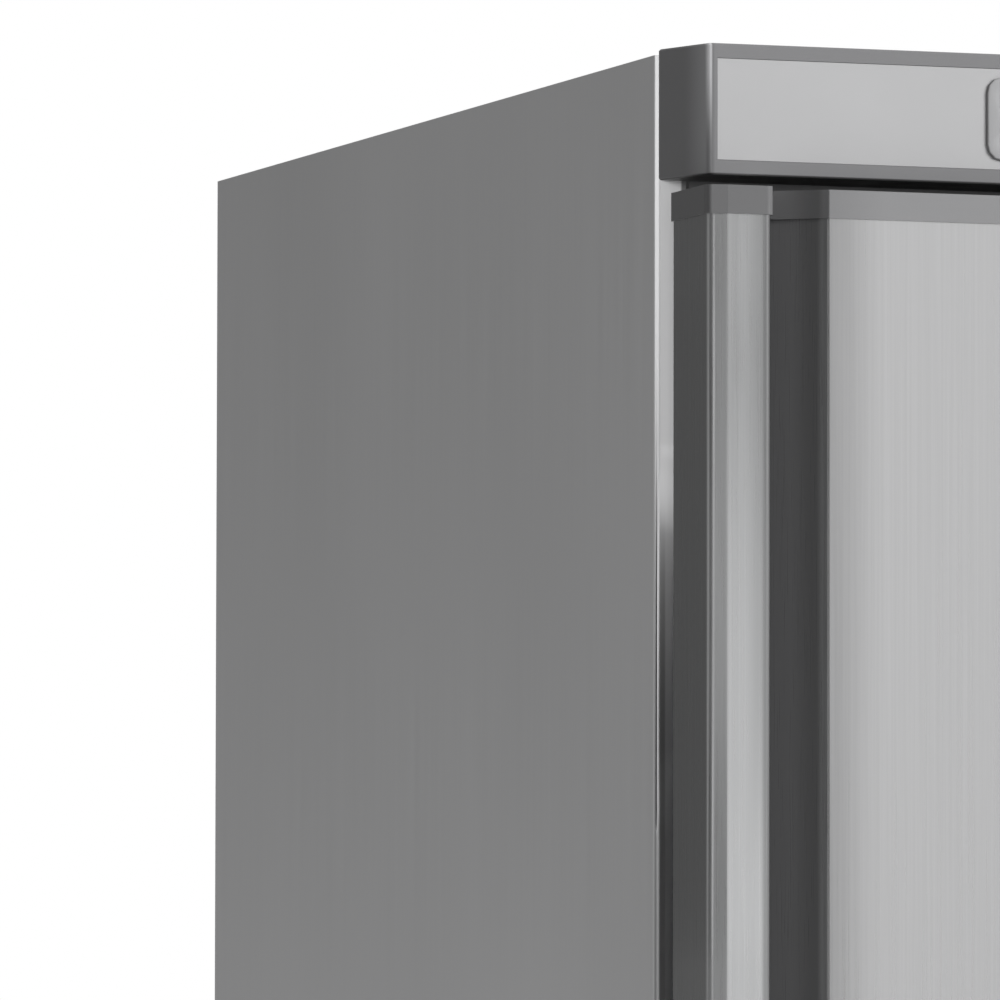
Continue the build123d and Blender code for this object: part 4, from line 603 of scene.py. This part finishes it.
def rim(at, way, edge, steps):
    """Levels of one rim, from its end inwards: a quarter round, or one level where it is square."""
    turns = [pi / 2 * i / steps for i in range(steps + 1)] if edge else [pi / 2]
    return [(at + way * edge * (1 - cos(t)), edge * (1 - sin(t))) for t in turns]


def soft(low, high, edge, low_edge=None, steps=4):
    """Levels from low to high as (distance, how far the outline is drawn in), with rounded rims."""
    low_edge = edge if low_edge is None else low_edge
    return rim(low, 1, low_edge, steps) + rim(high, -1, edge, steps)[::-1]


def drum(radius, levels):
    """The same levels as a turned profile of this radius."""
    return [(distance, radius - inset) for distance, inset in levels]


def bent(points, radii, steps=6):
    """Straight runs with an arc of its own radius at each inner corner."""
    points = [Vector(p) for p in points]
    path = [points[0]]
    for before, corner, after, radius in zip(points, points[1:], points[2:], radii):
        into, out = (before - corner).normalized(), (after - corner).normalized()
        half = into.angle(out) / 2
        centre = corner + (into + out).normalized() * (radius / sin(half))
        a, b = corner + into * (radius / tan(half)) - centre, corner + out * (radius / tan(half)) - centre
        whole = pi - 2 * half
        for k in range(steps + 1):
            t = k / steps
            path.append(centre + (a * sin((1 - t) * whole) + b * sin(t * whole)) / sin(whole))
    return path + [points[-1]]


class Form:
    """The corners and faces of one piece, in metres, gathered from closed solids."""

    def __init__(self):
        self.points, self.faces = [], []

    def loft(self, rings, closed=False):
        """A skin through rings of as many points each, with flat ends or closed on itself."""
        first, sides = len(self.points), len(rings[0])
        for ring in rings:
            self.points += ring
        for i in range(len(rings) if closed else len(rings) - 1):
            a, b = first + i * sides, first + (i + 1) % len(rings) * sides
            self.faces += [(a + j, a + (j + 1) % sides, b + (j + 1) % sides, b + j) for j in range(sides)]
        if not closed:
            last = first + (len(rings) - 1) * sides
            self.faces += [tuple(range(first, first + sides)), tuple(range(last, last + sides))]

    def sections(self, place, frame, sections, closed=False):
        """A loft through (distance, outline) pairs along the frame's third direction."""
        right, up, out = frame
        place = Vector(place)
        self.loft([[place + right * a + up * b + out * d for a, b in line] for d, line in sections], closed)

    def turned(self, place, frame, profile, sides=32, bored=False):
        """Turned about an axis. The profile holds (distance, radius) pairs, and with a bore it is closed."""
        self.sections(place, frame, [(d, circle(r, sides)) for d, r in profile], bored)

    def ring(self, place, frame, radius, wire, sides=48):
        """A round wire bent to a ring."""
        self.turned(place, frame, [(b, radius + a) for a, b in circle(wire, 10)], sides, True)

    def block(self, place, frame, size, radius, levels, steps=4):
        """A block with round corners and rims."""
        lines = []
        for d, inset in levels:
            corner = max(radius - inset, 0.02 * MM)
            lines.append((d, rounded(size[0] - 2 * inset, size[1] - 2 * inset, corner, steps)))
        self.sections(place, frame, lines)

    def tube(self, path, radius, sides=12, closed=False, across=None, flat=1.0):
        """A round bar along a path, or an oval one that is flat times as thick along across."""
        path = [Vector(p) for p in path]
        count, rings = len(path), []
        for i, point in enumerate(path):
            before = path[i - 1] if i or closed else point
            after = path[(i + 1) % count] if closed or i + 1 < count else point
            ahead = (after - before).normalized()
            across = ahead.orthogonal() if across is None else across
            across = (across - ahead * across.dot(ahead)).normalized()
            other = ahead.cross(across)
            rings.append([point + across * (a * flat) + other * b for a, b in circle(radius, sides)])
        self.loft(rings, closed)

    def mesh(self, name):
        mesh = bpy.data.meshes.new(name)
        mesh.from_pydata([tuple(p) for p in self.points], [], self.faces)
        shell = bmesh.new()
        shell.from_mesh(mesh)
        bmesh.ops.recalc_face_normals(shell, faces=shell.faces)
        shell.to_mesh(mesh)
        shell.free()
        mesh.shade_smooth()
        mesh.set_sharp_from_angle(angle=radians(HARD_EDGE))
        return mesh


def body_of(node):
    return nodes[node]["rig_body"]


def shown(name, data):
    """An object of this name in the scene."""
    ob = bpy.data.objects.new(name, data)
    bpy.context.scene.collection.objects.link(ob)
    return ob


def add_piece(name, form, slot, *stands_for, body=None, cutter=None):
    """A piece of its own form, which rides on a body and may stand for CAD nodes."""
    piece = shown(name, form.mesh(name))
    if cutter is not None:
        carve(piece, cutter)
    piece.data.materials.append(materials[slot])
    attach(piece, body or body_of(stands_for[0]))
    if stands_for:
        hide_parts(*stands_for)


def carve(piece, cutter):
    """Cuts the cutter's solids out of a piece."""
    tool = shown("cutter", cutter.mesh("cutter"))
    cut = piece.modifiers.new("cut", "BOOLEAN")
    cut.operation, cut.solver, cut.object = "DIFFERENCE", "EXACT", tool
    cut.use_self = True
    mesh = bpy.data.meshes.new_from_object(piece.evaluated_get(bpy.context.evaluated_depsgraph_get()))
    piece.modifiers.clear()
    piece.data = mesh
    mesh.set_sharp_from_angle(angle=radians(HARD_EDGE))
    bpy.data.objects.remove(tool)


def middle(node):
    low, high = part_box(node)
    return (low + high) / 2


# Shelves and door seal

BAR_R = 3.0 * MM
WIRE_R = 1.6 * MM
SHELF_ROUND = 13.0 * MM
SHELF_WIRES = 25


def wire_shelf(node):
    """A frame of round bar with round wires welded across it and one stiffener under them."""
    low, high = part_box(node)
    x, y, _ = middle(node)
    form = Form()
    wide, deep, bar = high.x - low.x, high.y - low.y, 2 * BAR_R
    frame_line = rounded(wide - bar, deep - bar, SHELF_ROUND, 6)
    level = low.z + BAR_R
    form.tube([(x + a, y + b, level) for a, b in frame_line], BAR_R, 16, True, Z)
    pitch = (wide - 2 * bar) / (SHELF_WIRES + 1)
    for i in range(SHELF_WIRES):
        at = low.x + bar + pitch * (i + 1)
        level = high.z - WIRE_R
        form.tube([(at, low.y + BAR_R, level), (at, high.y - BAR_R, level)], WIRE_R, 10)
    level = low.z + WIRE_R
    form.tube([(low.x + BAR_R, y, level), (high.x - BAR_R, y, level)], WIRE_R, 10)
    add_piece("wire_" + node, form, "shelf_coat", node)


SEAL_W = 15.7 * MM
SEAL_HALF_SECTION = (
    (1.2, 0.0), (0.35, 0.35), (0.0, 1.2), (0.0, 2.9), (0.5, 3.8), (2.9, 4.3), (3.3, 4.9), (1.7, 5.9),
    (1.3, 6.8), (1.7, 7.7), (3.1, 8.7), (3.2, 9.4), (0.3, 9.8), (0.0, 10.3), (0.0, 12.5),
)


def bellows_seal():
    """Magnet bead, folded bellows and foot, mitred round the door. The section is given from the bead's
    face, as (in from the edge, distance), and is mirrored about its middle."""
    low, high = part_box("door_gasket")
    half = mm(SEAL_HALF_SECTION)
    section = half + [(SEAL_W - a, b) for a, b in reversed(half)]
    x, _, z = middle("door_gasket")
    wide, tall = (high.x - low.x) / 2, (high.z - low.z) / 2
    form = Form()
    form.loft([[Vector((x + i * (wide - a), high.y - b, z + j * (tall - a))) for a, b in section]
               for i, j in CORNERS], True)
    add_piece("bellows_seal", form, "seal_rubber", "door_gasket")


for shelf_node in ("shelf_1", "shelf_2", "shelf_3", "shelf_4"):
    wire_shelf(shelf_node)
bellows_seal()


# Fan

FAN_SIDES = 96
FAN_CENTRE = middle("fan_motor")
FAN_FACE_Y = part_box("fan_housing")[0].y + 2.0 * MM
FAN_REAR_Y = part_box("fan_housing")[1].y


def on_fan_axis(y):
    return Vector((FAN_CENTRE.x, y, FAN_CENTRE.z))


def fan_shell():
    """Moulded housing with rounded rims, a rolled mouth and air slots in its sides."""
    deep = (FAN_REAR_Y - FAN_FACE_Y) / MM
    half = 90
    walls = ((0, half), (deep - 4, half), (deep - 1.2, 88.8), (deep, 86))
    mouth = ((deep, 67.5), (deep - 0.8, 65), (deep - 2.5, 64), (deep - 3.5, 64.6), (deep - 2, 67.5))
    inner = ((deep - 2, 85.5), (deep - 4.5, 88), (0, 88))
    beyond = half - 14
    square = [(d, squared(h, h - beyond * MM, FAN_SIDES)) for d, h in mm(walls + inner)]
    lines = square[:4] + [(d, circle(r, FAN_SIDES)) for d, r in mm(mouth)] + square[4:]
    form, slots = Form(), Form()
    form.sections(on_fan_axis(FAN_REAR_Y), FRONTAL, lines, True)
    long, wide, pitch = 30 * MM, 12 * MM, 30 * MM
    for i in range(4):
        place = (0, FAN_REAR_Y - 28 * MM, FAN_CENTRE.z + (i - 1.5) * pitch)
        slots.block(place, SIDEWAYS, (long, wide), 5.9 * MM, ((-0.1, 0), (0.1, 0)))
    add_piece("fan_shell", form, "grey_plastic", "fan_housing", cutter=slots)


def fan_guard():
    """Round rings and spokes over the fan's mouth, with a small disc in the middle."""
    form = Form()
    wire, inner, outer = 0.95 * MM, 12 * MM, 66 * MM
    place = on_fan_axis(FAN_FACE_Y - wire)
    form.ring(place, FRONTAL, outer, 2 * wire, 72)
    for i in range(1, 5):
        form.ring(place, FRONTAL, inner + 10.8 * MM * i, wire, 72)
    form.turned(place, FRONTAL, drum(13 * MM, soft(-0.9 * MM, 0.9 * MM, 0.6 * MM)), 32)
    for i in range(4):
        way = X * cos(pi / 4 + pi / 2 * i) + Z * sin(pi / 4 + pi / 2 * i)
        form.tube([place + way * inner, place + way * outer], wire, 10)
    add_piece("fan_guard", form, "grey_plastic", body="cabinet")


def fan_blades():
    """A hub with a domed nose and five cambered blades, twisted from root to tip."""
    hub, tip, long = 21 * MM, 59.6 * MM, 18 * MM
    place = on_fan_axis(middle("fan_rotor").y + long / 2)
    form = Form()
    form.turned(place, FRONTAL, drum(hub, soft(0, long, 5 * MM, 0.6 * MM, 6)), 48)
    for blade in range(5):
        rings = []
        for k in range(9):
            share = k / 8
            radius = hub - 2 * MM + (tip - hub + 2 * MM) * share
            chord = (20 + 14 * sin(pi / 2 * min(1.0, share * 1.25))) * MM
            pitch = radians(44 - 13 * share)
            front, back = [], []
            for j in range(9):
                at = j / 8 - 0.5
                camber = 0.09 * chord * (1 - 4 * at * at)
                thick = 0.8 * MM * (1 - (2 * at) ** 4 * 0.8)
                for side, line in ((1, front), (-1, back)):
                    along, off = at * chord, camber + side * thick
                    turn = (along * cos(pitch) - off * sin(pitch)) / radius + 2 * pi * blade / 5
                    depth = long / 2 + along * sin(pitch) + off * cos(pitch) - 1.0 * MM
                    line.append(place + X * (radius * cos(turn)) + Z * (radius * sin(turn)) - Y * depth)
            rings.append(front + back[::-1])
        form.loft(rings)
    add_piece("fan_blades", form, "grey_plastic", "fan_rotor")


def motor_on_bar():
    """A small can motor on its cross bar, with bearing boss and shaft."""
    low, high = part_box("fan_motor")
    face, place = (high.x - low.x, 18 * MM), on_fan_axis(high.y)
    form = Form()
    form.block(place, FRONTAL, face, 1.5 * MM, soft(0, 4 * MM, 0.8 * MM, 0))
    can, boss = (19, 3.6, 27.8, 2.5, 40), (6.5, 27, 28.6, 0.7, 24)
    shaft = (2.5, 28, (high.y - low.y) / MM, 0.4, 16)
    for radius, start, end, edge, sides in (can, boss, shaft):
        form.turned(place, FRONTAL, drum(radius * MM, soft(start * MM, end * MM, edge * MM)), sides)
    add_piece("motor_on_bar", form, "black_steel", "fan_motor")


fan_shell()
fan_guard()
fan_blades()
motor_on_bar()


# Evaporator

def pressed_evaporator():
    """Roll-bonded plate: a serpentine channel blown up on its face, on four pillars off the wall."""
    low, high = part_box("evaporator_plate")
    rear = high.y - 6 * MM
    edge, passes = 30 * MM, 7
    form = Form()
    centre = middle("evaporator_plate")
    size = (high.x - low.x, high.z - low.z)
    form.block((centre.x, rear, centre.z), FRONTAL, size, 9 * MM, soft(0, 1.5 * MM, 0.5 * MM, 0.3 * MM))
    pitch = (size[1] - 2 * edge) / (passes - 1)
    points = []
    for i in range(passes):
        for side in SIDES if i % 2 == 0 else SIDES[::-1]:
            points.append((centre.x + side * (size[0] / 2 - edge), rear - 1.5 * MM, low.z + edge + i * pitch))
    form.tube(bent(points, [18 * MM] * (len(points) - 2)), 5 * MM, 14, False, Y, 0.38)
    inset = 14 * MM
    for side in SIDES:
        for z in (low.z + inset, high.z - inset):
            spot = (centre.x + side * (size[0] / 2 - inset), high.y, z)
            form.turned(spot, FRONTAL, drum(6 * MM, ((0, 0), (6.2 * MM, 0))), 20)
            form.turned(spot, FRONTAL, drum(4.2 * MM, soft(6 * MM, 9.3 * MM, 1.4 * MM)), 20)
    add_piece("pressed_evaporator", form, "evaporator_aluminium", "evaporator_plate")


pressed_evaporator()


# Cooling circuit

GROMMET_X, GROMMET_Y = 105 * MM, 52 * MM


def on_grid(*points):
    return [Vector(p) * MM for p in points]


def condenser():
    """The tube's level passes up the back, with upright wires welded to both of its sides."""
    x, y, top, pitch, passes = 200, 286, 1508, 132, 10
    points = [(-99, 189, 150), (-x - 30, 189, 150), (-x - 30, y, 150), (-x - 30, y, top)]
    for i in range(passes):
        side = 1 if i % 2 == 0 else -1
        z = top - i * pitch
        points += [(-side * x, y, z)] * (i > 0) + [(side * x, y, z)]
    points += [(-x, y, 222), (-x, 252, 222), (-x, 252, 196)]
    form = Form()
    tube = 2.6 * MM
    form.tube(bent(on_grid(*points), [24 * MM] * (len(points) - 4) + [14 * MM] * 2), tube, 14)
    add_piece("bent_condenser_tube", form, "black_steel", "condenser_tube")
    low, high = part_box("condenser_wires")
    form = Form()
    wire, count = 0.8 * MM, 53
    for i in range(count):
        at = low.x + wire + (high.x - low.x - 2 * wire) * i / (count - 1)
        for level in (high.y - wire, high.y - 2 * tube - 3 * wire):
            form.tube([(at, level, low.z), (at, level, high.z)], wire, 8)
    add_piece("round_condenser_wires", form, "black_steel", "condenser_wires")


def compressor_shell():
    """Two drawn bowls welded at a rim, on two pressed foot bars."""
    low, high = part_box("compressor")
    centre = middle("compressor")
    under = 3 * MM
    bottom, tall = low.z + under, high.z - low.z - under
    size, corner = (196 * MM, 146 * MM), 62 * MM
    levels = soft(0, tall, 34 * MM, 26 * MM, 10)
    half = len(levels) // 2
    seam = mm(((-0.5, 0), (0, -2.6), (0.6, -3), (3.4, -3), (4, -2.6), (4.5, 0)))
    levels = levels[:half] + [(tall / 2 + d, inset) for d, inset in seam] + levels[half:]
    form = Form()
    place = (centre.x, centre.y, bottom)
    sections = []
    for level, inset in levels:
        corner_here = max(corner - inset, 20 * MM)
        sections.append((level, rounded(size[0] - 2 * inset, size[1] - 2 * inset, corner_here, 14)))
    form.sections(place, UPRIGHT, sections)
    for side in SIDES:
        spot = (centre.x, centre.y + side * GROMMET_Y, low.z)
        form.block(spot, UPRIGHT, (240 * MM, 30 * MM), 14.9 * MM, soft(0, 3.4 * MM, 0.8 * MM, 0.8 * MM), 8)
    add_piece("compressor_shell", form, "black_steel", "compressor")


def copper_parts():
    """The drier with its drawn-down ends, the suction line and the thin capillary."""
    _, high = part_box("filter_drier")
    spot = middle("filter_drier")
    form = Form()
    neck = [(0, 3.2), (-2, 3.3), (-7, 6.5), (-9.5, 9), (-12, 10)]
    end = [(-86, 10), (-89, 9), (-92, 5.5), (-98, 2.9), (-100, 2.6)]
    form.turned((spot.x, spot.y, high.z), UPRIGHT, mm(neck + end), 32)
    add_piece("drier_cartridge", form, "copper", "filter_drier")
    form = Form()
    suction = on_grid((-98, 149, 120), (-142, 149, 120), (-142, 149, 242))
    capillary = on_grid((-200, 252, 97), (-200, 252, 71), (-170, 252, 71), (-170, 252, 242))
    form.tube(bent(suction, [18 * MM], 10), 4 * MM, 18)
    form.tube(bent(capillary, [10 * MM] * 2, 8), 1.2 * MM, 12)
    add_piece("round_copper_lines", form, "copper", "refrigerant_lines")


def grommet_spots():
    """The four mounts' places, as (x, y)."""
    centre = middle("compressor_grommets")
    return [(centre.x + i * GROMMET_X, centre.y + j * GROMMET_Y) for i in SIDES for j in SIDES]


def rubber_grommets():
    """Waisted rubber mounts under the compressor's foot bars."""
    low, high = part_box("compressor_grommets")
    tall = high.z - low.z
    outer = [(0, 11), (0.6, 12), (3, 12), (4.5, 9.8), (8.5, 9.8), (10, 12), (13.4, 12), (14, 11)]
    bore = 2.35 * MM
    profile = mm(outer) + [(tall, bore), (0, bore)]
    form = Form()
    for x, y in grommet_spots():
        form.turned((x, y, low.z), UPRIGHT, profile, 32, True)
    add_piece("waisted_grommets", form, "grommet_rubber", "compressor_grommets")


condenser()
compressor_shell()
copper_parts()
rubber_grommets()


# Feet, rollers, hinges and screws

def threaded_foot(node):
    """Levelling foot: a round pad with a hexagon for the spanner, on a stem with a cut thread."""
    high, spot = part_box(node)[1], middle(node)
    place = Vector((spot.x, spot.y, 0))
    form = Form()
    pad = [(0, 17.6), (0.4, 18.4), (1.4, 19), (5.5, 19), (6.6, 18.5), (11.4, 14.6), (12, 13.8)]
    form.turned(place, UPRIGHT, mm(pad), 48)
    form.turned(place, UPRIGHT, mm([(11.8, 8), (15.6, 8), (16.6, 7.2)]), 6)
    start, crest, cut, pitch = 12 * MM, 5 * MM, 0.8 * MM, 1.5 * MM
    steps, sides = 6, 24
    rings = []
    for k in range(int((high.z - start) / pitch * steps) + 1):
        z = start + k * pitch / steps
        ring = []
        for j in range(sides):
            phase = (z / pitch - j / sides) % 1
            radius = crest - cut * abs(2 * phase - 1)
            turn = 2 * pi * j / sides
            ring.append(place + X * (radius * cos(turn)) + Y * (radius * sin(turn)) + Z * min(z, high.z))
        rings.append(ring)
    form.loft(rings)
    add_piece("threaded_" + node, form, "dark_plastic", node)


def roller_wheel(node):
    """Nylon roller with a rounded tread, a dished web and a hub round its bore."""
    low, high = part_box(node)
    place = Vector((low.x, middle(node).y, middle(node).z))
    wide = (high.x - low.x) / MM
    web, tread = [(0, 3.1), (0, 6.5), (2.2, 7), (2.2, 12.8)], [(0.4, 13.6), (0, 14.8), (0, 15.6), (0.5, 16.8)]
    side = web + tread + [(2, 17.5)]
    profile = side + [(wide - d, r) for d, r in reversed(side)]
    form = Form()
    form.turned(place, SIDEWAYS, mm(profile), 48, True)
    add_piece("wheel_" + node, form, "roller_nylon", node)


HINGE_AXIS = [joint["pos_m"][:2] for joint in frame["joints"] if joint["name"] == "door_hinge"][0]


def door_pivots():
    """Turned hinge pins with riveted ends, and the flanged bushes that they turn in."""
    pins, bushes = Form(), Form()
    pin = [(0, 2.2), (-0.6, 3), (-3, 3), (-3, 4), (-17, 4), (-18.6, 3)]
    bush = [(0, 4.1), (0, 8.2), (-0.3, 8.5), (-1.3, 8.5), (-1.3, 6), (-17.3, 6), (-17.3, 4.1)]
    for end, way in ((1, 1), (0, -1)):
        up = (X, Y, Z * way)
        pins.turned((*HINGE_AXIS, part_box("hinge_pins")[end].z), up, mm(pin), 28)
        bushes.turned((*HINGE_AXIS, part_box("hinge_bushes")[end].z), up, mm(bush), 32, True)
    add_piece("turned_pins", pins, "plated_steel", "hinge_pins")
    add_piece("flanged_bushes", bushes, "dark_plastic", "hinge_bushes")


def screw_places():
    """(place of the seat, frame, length of the shank) of each screw, its head on the frame's third side."""
    hinge_x = HINGE_AXIS[0] - 6 * MM
    plate = FLANGE_Y - 3 * MM
    spots = []
    for z in (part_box("fascia_frame")[0].z + 10.5 * MM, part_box("door_cap_bottom")[0].z - 14.6 * MM):
        way = 18 * MM if z > 1 else -18 * MM
        spots += [((hinge_x, plate, z), FRONTAL, 13 * MM), ((hinge_x, plate, z + way), FRONTAL, 13 * MM)]
    grille_low, grille_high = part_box("base_grille")
    for side in SIDES:
        z = (grille_low.z + grille_high.z) / 2
        spots.append(((side * 250 * MM, grille_low.y + 2.5 * MM, z), FRONTAL, 35.5 * MM))
    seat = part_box("compressor_grommets")[1].z + 3.5 * MM
    return spots + [((x, y, seat), UPRIGHT, 19.5 * MM) for x, y in grommet_spots()]


def cross_screws():
    """Pan-head screws with a cross recess."""
    form, recess = Form(), Form()
    head = [(0, 4.5), (0.8, 4.5), (1.6, 4.1), (2.2, 3), (2.5, 1.2)]
    for place, out, shank in screw_places():
        form.turned(place, out, mm(head), 32)
        form.turned(place, out, drum(2.2 * MM, soft(-shank, 0.1 * MM, 0, 0.8 * MM)), 16)
        for size in ((4.6, 0.9), (0.9, 4.6)):
            slot = rounded(*size, 0.2, 1)
            small = [(a * 0.35, b * 0.8) for a, b in slot]
            recess.sections(place, out, [(0.7 * MM, mm(small)), (3 * MM, mm(slot))])
    add_piece("cross_screws", form, "plated_steel", "screws", cutter=recess)


for foot_node in ("foot_left", "foot_right"):
    threaded_foot(foot_node)
for roller_node in ("roller_left", "roller_right"):
    roller_wheel(roller_node)
door_pivots()
cross_screws()


# Controller

SEGMENTS = {"4": "fgbc", "0": "abcdef"}


def display_digits(text):
    """Seven-segment numbers behind the display's glass."""
    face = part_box("controller_display")[0].y
    centre = middle("controller_display")
    half_w, half_h, bar, pitch = 2.9 * MM, 5.0 * MM, 0.55 * MM, 10 * MM
    spots = {
        "a": (0, half_h, 1), "g": (0, 0, 1), "d": (0, -half_h, 1), "f": (-half_w, half_h / 2, 0),
        "b": (half_w, half_h / 2, 0), "e": (-half_w, -half_h / 2, 0), "c": (half_w, -half_h / 2, 0),
    }
    form = Form()
    for i, digit in enumerate(text):
        x = centre.x + (i - (len(text) - 1) / 2) * pitch
        for name in SEGMENTS[digit]:
            dx, dz, level = spots[name]
            size = (2 * (half_w - 0.8 * MM), 2 * bar) if level else (2 * bar, half_h - 1.3 * MM)
            place = (x + dx, face, centre.z + dz)
            form.block(place, FRONTAL, size, bar * 0.9, ((-0.2 * MM, 0), (0.03 * MM, 0)), 3)
    add_piece("display_digits", form, "lit_digits", body=body_of("controller_display"))


def key_cap(node):
    """A key with a rounded rim and a shallow dish for the fingertip."""
    low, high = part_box(node)
    centre = middle(node)
    size = (high.x - low.x, high.z - low.z)
    deep = high.y - low.y
    edge = soft(0, deep, 0.6 * MM, 0)
    dish = [(deep + d, inset) for d, inset in mm([(-0.02, 0.9), (-0.16, 1.6), (-0.25, 2.6)])]
    form = Form()
    form.block((centre.x, high.y, centre.z), FRONTAL, size, 1.5 * MM, edge + dish, 5)
    add_piece("dished_" + node, form, "key_plastic", node)
    return Vector((centre.x, low.y + 0.25 * MM, centre.z))


def key_sign(node, place):
    """A plain sign on a key: an arrow head, a ring, or a ring open at its top with a bar."""
    form = Form()
    radius, line = 1.3 * MM, 0.2 * MM
    if node in ("button_up", "button_down"):
        way = 1 if node == "button_up" else -1
        outline = mm([(1.5, -0.9 * way), (0, 1.3 * way), (-1.5, -0.9 * way)])
        form.sections(place, FRONTAL, [(-0.1 * MM, outline), (0.04 * MM, outline)])
    elif node == "button_set":
        form.ring(place, FRONTAL, radius, 1.1 * line, 32)
    else:
        turns = [0.7 + 0.244 * k for k in range(21)]
        form.tube([place + X * (radius * sin(t)) + Z * (radius * cos(t)) for t in turns], line, 8)
        form.tube([place, place + Z * (1.7 * MM)], line, 8)
    add_piece("sign_" + node, form, "insert_plastic", body=body_of(node))


for key_node in ("button_set", "button_up", "button_standby", "button_down"):
    key_sign(key_node, key_cap(key_node))
display_digits("04")


# Stage, light, camera

FLOOR_HALF, FLOOR_GREY, FLOOR_GLOW = 150, 0.6, 0.45
AIR_LEVEL = 0.3
SCREENS = (
    (160, 3, 25, 35, 0.25),
    (65, 0, 20, 30, 0.12),
    (2, 0, 20, 14, 0.40),
    (-60, 0, 16, 12, 0.5),
    (-30, 0, 14, 12, 1.05),
    (32, 13, 8, 5, 1.6),
)


def add_floor():
    """A pale floor with the object's shadow, which glows faintly for the camera and in reflections."""
    mesh = bpy.data.meshes.new("floor")
    corners = [(x * FLOOR_HALF, y * FLOOR_HALF, 0) for x, y in CORNERS]
    mesh.from_pydata(corners, [], [(0, 1, 2, 3)])
    mat = bpy.data.materials.new("floor")
    t = Tree(tree_of(mat), "ShaderNodeOutputMaterial")
    plain = t.new("ShaderNodeBsdfDiffuse", {"Color": (FLOOR_GREY, FLOOR_GREY, FLOOR_GREY)}).outputs[0]
    glow = t.new("ShaderNodeEmission", {"Strength": FLOOR_GLOW}).outputs[0]
    lifted = t.new("ShaderNodeAddShader", {0: plain, 1: glow}).outputs[0]
    ray = t.new("ShaderNodeLightPath").outputs
    seen = t.maths("MAXIMUM", ray["Is Glossy Ray"], ray["Is Transmission Ray"])
    seen = t.maths("MAXIMUM", ray["Is Camera Ray"], seen)
    t.show(t.new("ShaderNodeMixShader", {0: seen, 1: plain, 2: lifted}).outputs[0])
    mesh.materials.append(mat)
    shown("floor", mesh)


def set_world():
    """White for the camera, an even level for diffuse rays, and for glossy rays white with grey screens and
    lights round the object: (turn, rise, half width, soft edge, level) each, the later ones in front."""
    world = bpy.data.worlds.new("studio")
    bpy.context.scene.world = world
    t = Tree(tree_of(world), "ShaderNodeOutputWorld")
    coord = t.new("ShaderNodeTexCoord").outputs["Generated"]
    seen = 1.0
    for turn, rise, half, edge, level in SCREENS:
        way = {0: coord, 1: heading(turn, rise)}
        dot = t.new("ShaderNodeVectorMath", way, operation="DOT_PRODUCT").outputs["Value"]
        seen = t.mix(t.step(dot, cos(radians(half + edge)), cos(radians(half))), seen, level, "FLOAT")
    ray = t.new("ShaderNodeLightPath").outputs
    clear = t.maths("MAXIMUM", ray["Is Camera Ray"], ray["Is Transmission Ray"])
    level = t.mix(clear, t.mix(ray["Is Glossy Ray"], AIR_LEVEL, seen, "FLOAT"), 1.0, "FLOAT")
    t.show(t.new("ShaderNodeBackground", {"Color": (1, 1, 1), "Strength": level}).outputs[0])


def softbox(name, place, target, size, power):
    light = bpy.data.lights.new(name, "AREA")
    light.shape = "RECTANGLE"
    light.size, light.size_y = size
    light.energy = power
    ob = shown(name, light)
    ob.location = place
    ob.rotation_euler = (Vector(target) - Vector(place)).to_track_quat("-Z", "Y").to_euler()
    ob.visible_glossy = False


def add_camera(place, yaw, pitch, roll, lens):
    """The camera that a fit of the photograph's edges gives. Yaw is from +Y towards +X, pitch is up."""
    yaw, pitch, roll = radians(yaw), radians(pitch), radians(roll)
    ahead = Vector((sin(yaw) * cos(pitch), cos(yaw) * cos(pitch), sin(pitch)))
    right = Vector((cos(yaw), -sin(yaw), 0))
    across = right * cos(roll) + right.cross(ahead) * sin(roll)
    data = bpy.data.cameras.new("camera")
    data.lens, data.sensor_width, data.clip_end = lens, 36, 500
    ob = shown("camera", data)
    turn = Matrix((across, across.cross(ahead), -ahead)).transposed().to_4x4()
    ob.matrix_world = Matrix.Translation(place) @ turn
    bpy.context.scene.camera = ob


add_floor()
set_world()
softbox("key", (3.6, -4.1, 3.3), (0, 0, 1.1), (3.0, 3.0), 470)
add_camera((-1.8398, -4.4493, 1.3706), 19.375, 3.930, 0.104, 425.56)
bpy.context.scene.view_settings.view_transform = "Standard"
